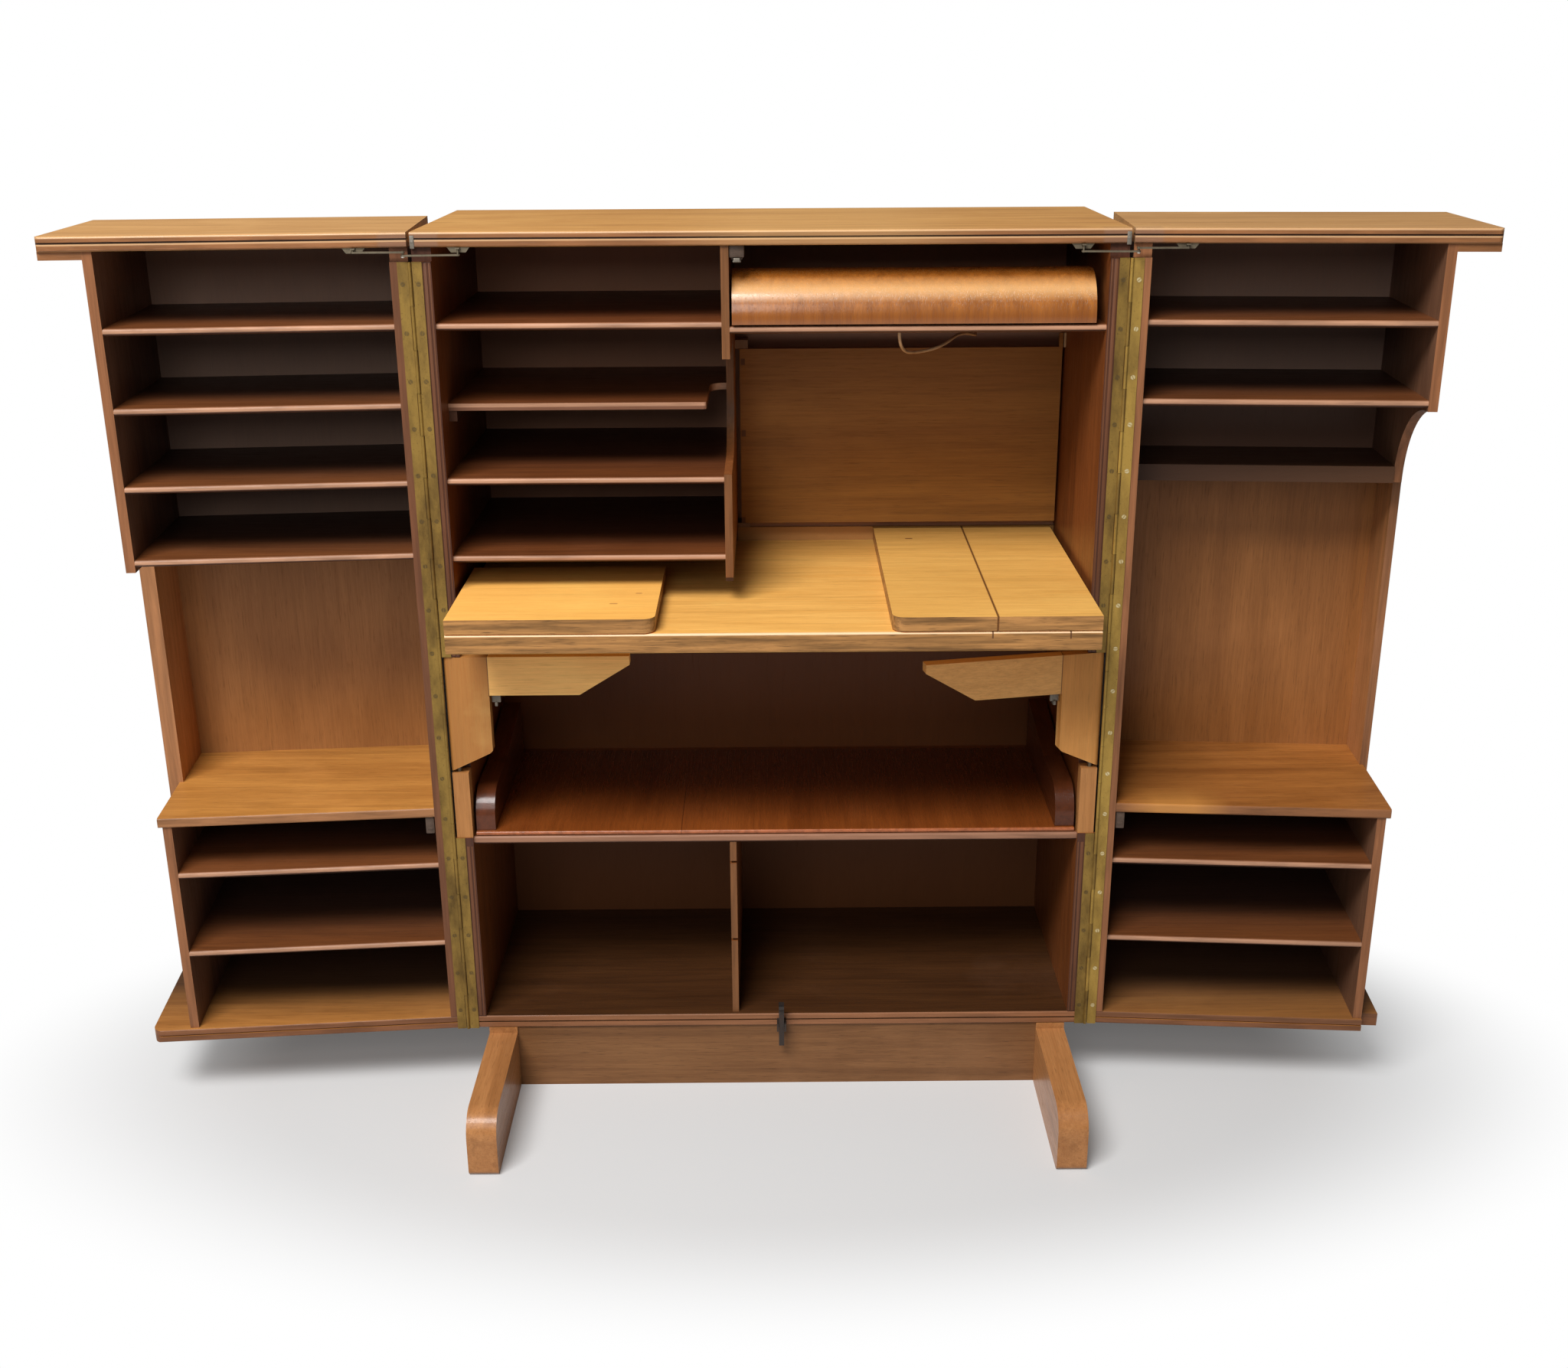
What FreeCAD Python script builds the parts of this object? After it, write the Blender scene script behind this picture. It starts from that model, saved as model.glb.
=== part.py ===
import FreeCAD, Part
import math
import os
import Sketcher

V = FreeCAD.Vector
doc = FreeCAD.newDocument("fold_out_desk")
sheet = doc.addObject("Spreadsheet::Sheet", "sizes")

# Lengths are in mm and angles in degrees. Every y is counted back from the plane
# of the piano hinges, and every z up from the floor.
SIZES = {
    # Cabinet shell
    "hinge_half_span": 440,
    "total_height": 1200,
    "cabinet_depth": 340,
    "wood_setback": 1.6,
    "hinge_gap": 2,
    "top_thickness": 18,
    "floor_underside": 97,
    "floor_thickness": 19,
    "side_thickness": 24,
    "back_inset": 14,
    "back_thickness": 8,
    "lip_height": 9,
    "lip_groove": 2,
    "lip_round": 2.4,
    "door_top_corner": 6,
    "door_floor_corner": 14,
    "shelf_front": 6,
    "cut_margin": 1,
    "pin_overlap": 1,
    # Base
    "foot_inset": 27,
    "foot_width": 40,
    "foot_reach": 212,
    "foot_end": 300,
    "foot_nose_height": 88,
    "foot_nose_round": 34,
    "foot_toe_round": 8,
    "stretcher_front": 5,
    "stretcher_thickness": 20,
    "back_stretcher_inset": 36,
    # Middle shelf and lower divider
    "middle_shelf_drop": 805,
    "middle_shelf_thickness": 12,
    "lower_divider_left": -63,
    "lower_divider_thickness": 9,
    "divider_setback": 2,
    "divider_slot_first": 114,
    "divider_slot_second": 33,
    "divider_slot_height": 4,
    "divider_slot_depth": 9,
    # Pigeonholes
    "divider_left": -62,
    "divider_thickness": 10,
    "divider_foot_clearance": 10,
    "divider_bay_top_drop": 156,
    "divider_bay_bottom_drop": 302,
    "divider_bay_depth": 182,
    "divider_bay_round": 70,
    "thin_board": 9,
    "thin_round": 4,
    "pigeon_first_drop": 110,
    "pigeon_second_drop": 217,
    "pigeon_third_drop": 305,
    "pigeon_fourth_drop": 407,
    "letter_shelf_front": 48,
    "letter_shelf_gap": 22,
    "letter_shelf_curve_end": 190,
    "letter_shelf_curve": 20,
    "ledger_width": 10,
    "ledger_height": 14,
    "ledger_setback": 2,
    # Lamp compartment
    "lamp_shelf_drop": 116,
    "hood_front_gap": 3,
    "hood_axis_rise": 10,
    "hood_radius": 55,
    "hood_thickness": 4,
    "hood_gap_left": 3,
    "hood_gap_right": 13,
    "hood_drop_angle": 8,
    "hood_sweep": 100,
    "hood_end_reach": 69,
    "hood_hub_wall": 4,
    "hood_web_start": 10,
    "hood_web_sweep": 40,
    "hood_corner_round": 26,
    "hood_plate": 1.5,
    "hood_pin_radius": 3,
    "running_clearance": 0.05,
    "hood_bracket_gap": 1,
    "hood_bracket_thickness": 3,
    "hood_bracket_half": 8,
    "tube_radius": 11,
    "tube_setback": 2,
    "tube_rise": 19,
    "tube_inset": 25,
    "holder_width": 8,
    "holder_depth": 20,
    "holder_height": 33,
    "cord_radius": 2,
    # Service panel
    "panel_gap_left": 6,
    "panel_gap_right": 4,
    "panel_foot_clearance": 13,
    "panel_top_drop": 188,
    "panel_back_gap": 30,
    "panel_thickness": 8,
    "panel_axis_inset": 6,
    "panel_pin_radius": 1.5,
    "panel_pin_depth": 14,
    "panel_gap": 0.5,
    "cleat_height": 12,
    "tongue_width": 5,
    "tongue_height": 20,
    "tongue_lead": 2,
    "tongue_root": 4,
    "catch_width": 2.5,
    # Desktop and leaves
    "desk_clearance": 7,
    "desk_front_clearance": 6,
    "desk_back_clearance": 6,
    "desk_thickness": 25,
    "desk_top_drop": 473,
    "leaf_thickness": 18.4,
    "leaf_gap": 1.6,
    "leaf_inner": 147,
    "leaf_split": 277,
    "leaf_joint": 0.8,
    "leaf_back_short": 113,
    "leaf_corner_round": 15,
    "leaf_pin_inset": 15,
    "leaf_pin_front_inset": 14,
    "leaf_pin_radius": 4,
    "leaf_pin_height": 14,
    "leaf_pin_root": 5,
    "leaf_washer_radius": 10,
    "leaf_seat_gap": 0.3,
    "desk_edge_round": 3,
    "runner_width": 10,
    "runner_height": 14,
    "runner_setback": 2,
    "rear_stop_gap": 0.6,
    "rear_stop_height": 34,
    "slide_gap": 0.4,
    # Gallows brackets
    "bracket_pin_inset": 11,
    "bracket_pin_y": 10.5,
    "bracket_pin_radius": 3,
    "bracket_outer": 10.5,
    "bracket_thickness": 16,
    "bracket_tip": 236,
    "bracket_clearance": 46,
    "bracket_arm_height": 54,
    "bracket_tip_height": 12,
    "bracket_slope_start": 168,
    "bracket_post_width": 48,
    "bracket_post_corner": 4,
    "bracket_foot_gap": 2,
    "bracket_post_chamfer": 26,
    "bracket_end_round": 7.5,
    "bracket_rest_turn": 11,
    "notch_top_clearance": 1,
    "notch_back_clearance": 1.1,
    "batten_height": 96,
    "batten_inset": 2,
    "batten_setback": 1,
    "pin_hold": 15,
    # Tray
    "tray_clearance": 4,
    "tray_front_setback": 1,
    "tray_back_clearance": 26,
    "tray_thickness": 6,
    "tray_edge_round": 2.6,
    "rail_width": 26,
    "rail_front_height": 55.6,
    "rail_back_height": 82.6,
    "rail_front_setback": 5,
    "rail_level": 120,
    "rail_back_setback": 8,
    "rail_curve": 40,
    # Latch
    "latch_left": 0,
    "latch_width": 13,
    "latch_ear": 2.4,
    "latch_gap": 0.4,
    "latch_rise": 36,
    "latch_drop": 30,
    "latch_front": 14,
    "latch_back": 6,
    "latch_axis_y": 10,
    "latch_axis_rise": 6,
    "latch_ear_half": 6,
    "latch_web_thickness": 2,
    "latch_pin_radius": 1.5,
    "latch_barb": 5,
    # Doors, counted outward from the hinge axis
    "door_rest_turn": 4.5,
    "door_meeting_gap": 1.5,
    "door_depth": 246,
    "door_wall_thickness": 22,
    "door_panel_thickness": 8,
    "door_outer_wall": 375,
    "door_outer_thickness": 12,
    "door_counter_drop": 760,
    "door_counter_thickness": 14,
    "door_counter_overhang": 5,
    "door_counter_setback": 1,
    "door_shelf_high_drop": 844,
    "door_shelf_first_drop": 110,
    "door_shelf_second_drop": 208,
    "door_shelf_third_drop": 307,
    "door_shelf_fourth_drop": 402,
    "left_wall_tail": 7,
    "right_wall_tail": 5,
    "right_wall_flat": 2,
    "set_back_shelf_drop": 316,
    "set_back_rail_lead": 4,
    "set_back_rail_height": 22,
    "set_back_rail_depth": 10,
    "grip_height": 10,
    "right_panel_end": 413,
    "right_floor_setback": 20,
    "left_side_thickness": 20,
    "left_side_front": 129,
    "right_side_thickness": 11,
    "right_side_front": 161,
    # Piano hinges
    "knuckle_radius": 2.2,
    "hinge_pin_radius": 1,
    "hinge_bore_clearance": 0.1,
    "hinge_leaf_front": 0.4,
    "hinge_leaf_width": 15,
    "hinge_leaf_gap": 0.6,
    "hinge_top_drop": 17,
    "knuckle_pitch": 53.4,
    "knuckle_gap": 0.4,
    "knuckle_foot": 1,
    # Stays
    "stay_cabinet_reach": 60,
    "stay_door_reach": 66,
    "stay_half_width": 2.6,
    "stay_low_drop": 10,
    "stay_high_drop": 6,
    "stay_link_thickness": 2,
    "stay_pin_radius": 1.25,
    "stay_pivot_clearance": 0.25,
    "stay_pin_tail": 0.6,
    "stay_rivet_head": 0.8,
    "stay_tab_drop": 1.9,
    "stay_tab_thickness": 1.5,
    "stay_tab_width": 5,
    "stay_tab_reach": 2.5,
    "stay_plate_front": 4.5,
    "stay_plate_thickness": 2,
    "stay_plate_drop": 6.5,
    "stay_plate_half_top": 14,
    "stay_plate_half_bottom": 9,
    "stay_notch_drop": 17,
    "stay_notch_depth": 6.4,
}

for row, (alias, number) in enumerate(SIZES.items(), 1):
    sheet.set(f"B{row}", str(number))
    sheet.setAlias(f"B{row}", alias)
doc.recompute()


class Size:
    """A length kept both as a formula over the sheet and as a number."""

    def __init__(self, text, number):
        self.text = text
        self.number = number

    def __str__(self):
        return self.text

    def __add__(self, other):
        other = size(other)
        return Size(f"({self.text} + {other.text})", self.number + other.number)

    def __radd__(self, other):
        return size(other) + self

    def __sub__(self, other):
        other = size(other)
        return Size(f"({self.text} - {other.text})", self.number - other.number)

    def __rsub__(self, other):
        return size(other) - self

    def __mul__(self, other):
        other = size(other)
        return Size(f"({self.text} * {other.text})", self.number * other.number)

    def __rmul__(self, other):
        return size(other) * self

    def __truediv__(self, other):
        other = size(other)
        return Size(f"({self.text} / {other.text})", self.number / other.number)

    def __neg__(self):
        return 0 - self


def size(value):
    """Any plain number as a Size."""
    return value if isinstance(value, Size) else Size(f"({value})", float(value))


class Sheet:
    """The sheet's aliases as attributes."""

    def __getattr__(self, alias):
        return Size("sizes." + alias, SIZES[alias])


s = Sheet()

# Limits that follow from the sheet, so that each piece keeps to what it meets.
over = s.cut_margin
cabinet_half_width = s.hinge_half_span - s.hinge_gap
side_inner = cabinet_half_width - s.side_thickness
top_underside = s.total_height - s.top_thickness
floor_top = s.floor_underside + s.floor_thickness
back_front_face = s.cabinet_depth - s.back_inset
shelf_y = (s.shelf_front, back_front_face)
front_plane = (s.foot_reach - s.cabinet_depth) / 2
foot_outer = cabinet_half_width - s.foot_inset
foot_inner = foot_outer - s.foot_width
middle_shelf_top = s.total_height - s.middle_shelf_drop
middle_underside = middle_shelf_top - s.middle_shelf_thickness
lower_divider_right = s.lower_divider_left + s.lower_divider_thickness

desk_front = s.left_side_front - s.desk_front_clearance
desk_back = back_front_face - s.desk_back_clearance
desk_half_width = side_inner - s.desk_clearance
desk_top = s.total_height - s.desk_top_drop
desk_bottom = desk_top - s.desk_thickness
leaf_low = desk_top + s.leaf_gap
leaf_top = leaf_low + s.leaf_thickness
leaf_pin_x = desk_half_width - s.leaf_pin_inset
leaf_pin_y = s.leaf_pin_front_inset - desk_front

divider_right = s.divider_left + s.divider_thickness
divider_bottom = leaf_top + s.divider_foot_clearance
divider_bay_top = s.total_height - s.divider_bay_top_drop
divider_bay_bottom = s.total_height - s.divider_bay_bottom_drop
letter_shelf_top = s.total_height - s.pigeon_second_drop
letter_shelf_right = s.divider_left - s.letter_shelf_gap
lamp_shelf_top = s.total_height - s.lamp_shelf_drop
hood_axis_y = s.hood_radius + s.hood_front_gap
hood_axis_z = lamp_shelf_top + s.hood_axis_rise
hood_left = divider_right + s.hood_gap_left
hood_right = side_inner - s.hood_gap_right
hood_bracket_left = hood_right + s.hood_bracket_gap
tube_y = hood_axis_y + s.tube_setback
tube_z = lamp_shelf_top + s.tube_rise
tube_left = hood_left + s.tube_inset
tube_right = hood_right - s.tube_inset
panel_left = divider_right + s.panel_gap_left
panel_right = side_inner - s.panel_gap_right
panel_bottom = leaf_top + s.panel_foot_clearance
panel_top = s.total_height - s.panel_top_drop
panel_front = back_front_face - s.panel_back_gap
panel_axis_x = panel_left + s.panel_axis_inset
tongue_front = panel_front - s.tongue_lead

bracket_pin_x = cabinet_half_width - s.bracket_pin_inset
bracket_top = desk_bottom - s.bracket_clearance
batten_top = middle_shelf_top + s.batten_height
bracket_post_bottom = batten_top + s.bracket_foot_gap
notch_top = bracket_top + s.notch_top_clearance
notch_back = s.bracket_pin_y + s.bracket_outer + s.notch_back_clearance
tray_half_width = side_inner - s.tray_clearance
tray_front = s.shelf_front + s.tray_front_setback
tray_back = back_front_face - s.tray_back_clearance
latch_right = s.latch_left + s.latch_width
latch_axis_z = s.floor_underside + s.latch_axis_rise

door_width = s.hinge_half_span - s.door_meeting_gap
door_panel_front = s.door_depth - s.door_panel_thickness
door_wall_end = s.hinge_gap + s.door_wall_thickness
outer_wall_end = s.door_outer_wall + s.door_outer_thickness
door_counter_top = s.total_height - s.door_counter_drop
door_shelf_high = s.total_height - s.door_shelf_high_drop
door_shelf_low = (floor_top + door_shelf_high) / 2
rail_bottom = s.total_height - s.set_back_shelf_drop - s.set_back_rail_height
right_wall_end = s.total_height - s.door_shelf_second_drop - s.thin_board - s.right_wall_tail
right_wall_curve = right_wall_end - rail_bottom - s.right_wall_flat
right_wall_reach = s.shelf_front + right_wall_curve + s.right_wall_flat
hinge_top = top_underside - s.hinge_top_drop
stay_low_bottom = top_underside - s.stay_low_drop
stay_high_bottom = top_underside - s.stay_high_drop
stay_tab_bottom = top_underside - s.stay_tab_drop
stay_notch_bottom = top_underside - s.stay_notch_drop
AXES = {"X": "0; 1; 0", "Y": "-1; 0; 0"}
local_spot = {}


def spot(x, y, z, axis="0; 0; 1", turn=0):
    """Placement formula for a point and a turn about an axis."""
    return f"placement(vector({x}; {y}; {z}); rotation(vector({axis}); {turn}))"


def lay(part, x, y, z, axis="0; 0; 1", turn=0):
    """Put a building block in its node's own frame."""
    local_spot[part.Name] = spot(x, y, z, axis, turn)
    part.setExpression("Placement", local_spot[part.Name])
    return part


def box(name, x, y, z):
    """Box between a low and a high limit on each axis."""
    part = doc.addObject("Part::Box", name)
    part.setExpression("Length", str(x[1] - x[0]))
    part.setExpression("Width", str(y[1] - y[0]))
    part.setExpression("Height", str(z[1] - z[0]))
    return lay(part, x[0], y[0], z[0])


def rod(name, axis, radius, at, length):
    """Cylinder that starts at a point and runs along one axis."""
    part = doc.addObject("Part::Cylinder", name)
    part.setExpression("Radius", str(radius))
    part.setExpression("Height", str(length))
    if axis == "Z":
        return lay(part, *at)
    return lay(part, *at, AXES[axis], 90)


def cut(name, base, *tools):
    """Base with every tool taken away."""
    for count, tool in enumerate(tools):
        part = doc.addObject("Part::Cut", f"{name}_cut{count}")
        part.Base = base
        part.Tool = tool
        base = part
    return base


def join(name, *parts):
    """One solid from parts that overlap or touch."""
    part = doc.addObject("Part::MultiFuse", name + "_join")
    part.Shapes = list(parts)
    return part


def overlap(name, *parts):
    """What all the parts share."""
    part = doc.addObject("Part::MultiCommon", name + "_common")
    part.Shapes = list(parts)
    return part


def group(name, *parts):
    """Separate solids under one name."""
    part = doc.addObject("Part::Compound", name + "_group")
    part.Links = list(parts)
    return part


def unit(low, high):
    """Direction of travel between two points along one sketch axis."""
    dx = round(high[0].number - low[0].number, 6)
    dy = round(high[1].number - low[1].number, 6)
    return ((dx > 0) - (dx < 0), (dy > 0) - (dy < 0))


def trim(corner, other, radius):
    """Where a rounding meets the straight edge toward another corner."""
    way = unit(corner, other)
    return (corner[0] + way[0] * radius, corner[1] + way[1] * radius)


def outline(corners):
    """Straight and rounded edges of a closed shape; a third value rounds a corner."""
    edges = []
    ends = []
    count = len(corners)
    for i, corner in enumerate(corners):
        point = (size(corner[0]), size(corner[1]))
        if len(corner) == 2:
            ends.append((point, point, None))
            continue
        before = tuple(size(v) for v in corners[i - 1][:2])
        after = tuple(size(v) for v in corners[(i + 1) % count][:2])
        start = trim(point, before, corner[2])
        end = trim(point, after, corner[2])
        ends.append((start, end, (point, corner[2])))
    for i, (start, end, rounding) in enumerate(ends):
        if rounding:
            edges.append((start, end, rounding))
        edges.append((end, ends[(i + 1) % count][0], None))
    return edges


def flat(point):
    """Numbers of a sketch point."""
    return V(point[0].number, point[1].number, 0)


def arc_through(start, end, corner):
    """Quarter arc tangent to both edges of a square corner, and whether it runs clockwise."""
    first, last, tip = flat(start), flat(end), flat(corner)
    middle_point = first + last - tip
    bend = (tip - middle_point).normalize() * (first - middle_point).Length
    turn = (tip - first).cross(last - tip).z
    return Part.Arc(first, middle_point + bend, last), turn < 0


def fix(sketch, index, end, point):
    """Tie one end of an edge to the sheet."""
    for kind, value in (("DistanceX", point[0]), ("DistanceY", point[1])):
        number = sketch.addConstraint(Sketcher.Constraint(kind, -1, 1, index, end, value.number))
        sketch.setExpression(f"Constraints[{number}]", str(value))


def draw(sketch, corners):
    """Closed outline whose every corner follows the sheet."""
    ends = []
    for start, end, rounding in outline(corners):
        if rounding is None:
            index = sketch.addGeometry(Part.LineSegment(flat(start), flat(end)), False)
            ends.append((index, 1, 2))
            fix(sketch, index, 1, start)
            continue
        arc, clockwise = arc_through(start, end, rounding[0])
        index = sketch.addGeometry(arc, False)
        ends.append((index, 2, 1) if clockwise else (index, 1, 2))
        fix(sketch, index, ends[-1][1], start)
        number = sketch.addConstraint(Sketcher.Constraint("Radius", index, rounding[1].number))
        sketch.setExpression(f"Constraints[{number}]", str(rounding[1]))
    for (a, _, last), (b, first, _) in zip(ends, ends[1:] + ends[:1]):
        sketch.addConstraint(Sketcher.Constraint("Coincident", a, last, b, first))


def slab(name, plane, corners, low, high):
    """Outline drawn on a plane and padded between two limits across it."""
    body = doc.addObject("PartDesign::Body", name)
    base = [p for p in body.Origin.OriginFeatures if p.Role == plane + "_Plane"][0]
    sketch = body.newObject("Sketcher::SketchObject", name + "_outline")
    sketch.AttachmentSupport = [(base, "")]
    sketch.MapMode = "FlatFace"
    draw(sketch, corners)
    pad = body.newObject("PartDesign::Pad", name + "_pad")
    pad.Profile = sketch
    pad.Reversed = plane == "XZ"
    pad.setExpression("Length", str(high - low))
    offset = {"XY": (0, 0, low), "XZ": (0, low, 0), "YZ": (low, 0, 0)}[plane]
    return lay(body, *offset)


def nosed(name, x, y, z, radius):
    """Board across x with a rounded front edge."""
    corners = ((y[0], z[0], radius), (y[0], z[1], radius), (y[1], z[1]), (y[1], z[0]))
    return slab(name, "YZ", corners, x[0], x[1])


def thin_shelf(name, x, y, top):
    """Thin board with a rounded nose, given by its top face."""
    return nosed(name, x, y, (top - s.thin_board, top), s.thin_round)


def across(side, low, high):
    """Low and high limits on one side of the middle."""
    return (low * 1, high * 1) if side > 0 else (-high, -low)


CABINET = spot(0, front_plane, 0)
DOOR = {
    -1: spot(-s.hinge_half_span, front_plane, 0, turn=s.door_rest_turn),
    1: spot(s.hinge_half_span, front_plane, 0, turn=-s.door_rest_turn),
}
NAMES = {-1: "left", 1: "right"}
pieces = []


def piece(label, part, frame=CABINET):
    """Finish a sub-part: name it and place it."""
    part.Label = label
    own = local_spot.get(part.Name)
    part.setExpression("Placement", f"{frame} * {own}" if own else frame)
    pieces.append(part)
    return part


def lipped(name, x, y, z):
    """Board whose front edge is two rounded lips with a groove between them."""
    groove_low = z[0] + s.lip_height
    groove_high = groove_low + s.lip_groove
    corners = (
        (y[0], z[0], s.lip_round),
        (y[0], groove_low),
        (y[0] + s.lip_groove, groove_low),
        (y[0] + s.lip_groove, groove_high),
        (y[0], groove_high),
        (y[0], z[1], s.lip_round),
        (y[1], z[1]),
        (y[1], z[0]),
    )
    return slab(name, "YZ", corners, x[0], x[1])


def build_shell():
    """Top, floor, sides and back of the cabinet."""
    wide = (-cabinet_half_width, cabinet_half_width * 1)
    deep = (s.wood_setback, s.cabinet_depth)
    piece("carcass_top", lipped("carcass_top_board", wide, deep, (top_underside, s.total_height)))
    piece("carcass_bottom", lipped("carcass_floor", wide, deep, (s.floor_underside, floor_top)))
    back = box("carcass_back_board", (-side_inner, side_inner),
               (back_front_face, back_front_face + s.back_thickness), (floor_top, top_underside))
    piece("carcass_back", back)
    for side in (-1, 1):
        build_side(side, deep)


def build_side(side, deep):
    """One cabinet side, notched for its bracket and for the stay."""
    name = NAMES[side]
    wide = across(side, side_inner, cabinet_half_width)
    board = box(f"side_{name}", wide, deep, (floor_top, top_underside))
    front = deep[0] - over
    bracket_room = box(f"side_{name}_notch", (wide[0] - over, wide[1] + over),
                       (front, notch_back), (middle_shelf_top, notch_top))
    stay_room = box(f"side_{name}_stay", (wide[0] - over, wide[1] + over),
                    (front, s.wood_setback + s.stay_notch_depth), (stay_notch_bottom, top_underside + over))
    bore = rod(f"side_{name}_bore", "Z", s.bracket_pin_radius,
               (side * bracket_pin_x, s.bracket_pin_y, notch_top - over), s.pin_hold + over)
    piece(f"carcass_side_{name}", cut(f"side_{name}", board, bracket_room, stay_room, bore))


def build_base():
    """Two long feet and the stretchers between them."""
    toe = -s.foot_reach
    corners = (
        (toe, 0, s.foot_toe_round),
        (toe, s.foot_nose_height, s.foot_nose_round),
        (s.wood_setback, s.foot_nose_height),
        (s.wood_setback, s.floor_underside),
        (s.foot_end, s.floor_underside),
        (s.foot_end, 0),
    )
    feet = []
    for side in (-1, 1):
        wide = across(side, foot_inner, foot_outer)
        feet.append(slab(f"foot_{NAMES[side]}", "YZ", corners, *wide))
    piece("feet", group("feet", *feet))
    bars = []
    rear_front = s.foot_end - s.back_stretcher_inset
    for name, front in (("front", s.stretcher_front), ("rear", rear_front)):
        bars.append(box(f"stretcher_{name}", (-foot_inner, foot_inner * 1),
                        (front, front + s.stretcher_thickness), (size(0), s.floor_underside)))
    piece("stretchers", group("stretchers", *bars))


def build_lower_cabinet():
    """Middle shelf and the thin divider below it."""
    shelf = nosed("middle_board", (-side_inner, side_inner), shelf_y,
                  (middle_underside, middle_shelf_top), s.thin_round)
    piece("middle_shelf", shelf)
    wide = (s.lower_divider_left, lower_divider_right)
    board = box("lower_divider_board", wide, (s.shelf_front + s.divider_setback, back_front_face),
                (floor_top, middle_underside))
    slots = []
    lows = {"low": floor_top + s.divider_slot_first, "high": middle_underside - s.divider_slot_second}
    for name, low in lows.items():
        slots.append(box(f"lower_divider_{name}", (wide[0] - over, wide[1] + over),
                         (s.shelf_front, s.shelf_front + s.divider_setback + s.divider_slot_depth),
                         (low, low + s.divider_slot_height)))
    piece("lower_divider", cut("lower_divider", board, *slots))


def build_pigeonholes():
    """Upper divider with its bay, three full shelves and the short letter shelf."""
    front = s.shelf_front
    bay = s.divider_bay_depth
    corners = (
        (front, divider_bottom),
        (front, divider_bay_bottom),
        (bay, divider_bay_bottom, s.divider_bay_round),
        (bay, divider_bay_top),
        (front, divider_bay_top),
        (front, top_underside),
        (back_front_face, top_underside),
        (back_front_face, divider_bottom),
    )
    piece("upper_divider", slab("upper_divider_board", "YZ", corners, s.divider_left, divider_right))
    wide = (-side_inner, s.divider_left)
    drops = (s.pigeon_first_drop, s.pigeon_third_drop, s.pigeon_fourth_drop)
    shelves = []
    for i, drop in enumerate(drops):
        shelves.append(thin_shelf(f"pigeon_shelf{i}", wide, shelf_y, s.total_height - drop))
    piece("pigeonhole_shelves", group("pigeonhole_shelves", *shelves))
    corners = (
        (-side_inner, s.letter_shelf_front),
        (letter_shelf_right, s.letter_shelf_front, s.thin_round),
        (letter_shelf_right, s.letter_shelf_curve_end, s.letter_shelf_curve),
        (s.divider_left, s.letter_shelf_curve_end),
        (s.divider_left, back_front_face),
        (-side_inner, back_front_face),
    )
    under = letter_shelf_top - s.thin_board
    board = slab("letter_shelf_board", "XY", corners, under, letter_shelf_top)
    ledger = box("letter_shelf_ledger", (-side_inner, -side_inner + s.ledger_width),
                 (s.letter_shelf_front + s.ledger_setback, back_front_face), (under - s.ledger_height, under))
    piece("letter_shelf", group("letter_shelf", board, ledger))


def hood_arc(name, radius, start, sweep, x):
    """Part of a cylinder about the hood's axis, counted up from the front."""
    part = doc.addObject("Part::Cylinder", name)
    part.setExpression("Radius", str(radius))
    part.setExpression("Height", str(x[1] - x[0]))
    part.setExpression("Angle", str(sweep))
    # Turned so that the sector opens from the front edge upward and back.
    spin = f"rotation(vector(0; 1; 0); 90) * rotation(vector(0; 0; 1); 270 - {start} - {sweep})"
    where = f"placement(vector({x[0]}; {hood_axis_y}; {hood_axis_z}); {spin})"
    local_spot[part.Name] = where
    part.setExpression("Placement", where)
    return part


def build_hood():
    """Curved lamp hood, its two end plates and what they turn on."""
    wide = (hood_left, hood_right)
    outer = hood_arc("hood_outer", s.hood_radius, -s.hood_drop_angle, s.hood_sweep, wide)
    inner = rod("hood_inner", "X", s.hood_radius - s.hood_thickness,
                (hood_left - over, hood_axis_y, hood_axis_z), hood_right - hood_left + over * 2)
    reach = hood_axis_y - s.hood_radius - over
    corners = ((hood_left, reach), (hood_right, reach), (hood_right, s.hood_end_reach, s.hood_corner_round),
               (hood_left, s.hood_end_reach))
    plan = slab("hood_plan", "XY", corners, hood_axis_z - s.hood_radius, hood_axis_z + s.hood_radius + over)
    piece("lamp_hood", overlap("lamp_hood", cut("hood_shell", outer, inner), plan))
    plates = []
    grip = s.hood_radius - s.hood_thickness
    for name, left in (("left", hood_left), ("right", hood_right - s.hood_plate)):
        x = (left, left + s.hood_plate)
        web = hood_arc(f"hood_plate_{name}_web", grip, s.hood_web_start, s.hood_web_sweep, x)
        hub = rod(f"hood_plate_{name}_hub", "X", s.hood_pin_radius + s.hood_hub_wall,
                  (left, hood_axis_y, hood_axis_z), s.hood_plate)
        bore = rod(f"hood_plate_{name}_bore", "X", s.hood_pin_radius + s.running_clearance,
                   (left - over, hood_axis_y, hood_axis_z), s.hood_plate + over * 2)
        plates.append(cut(f"hood_plate_{name}", join(f"hood_plate_{name}", web, hub), bore))
    piece("hood_plates", group("hood_plates", *plates))


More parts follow.
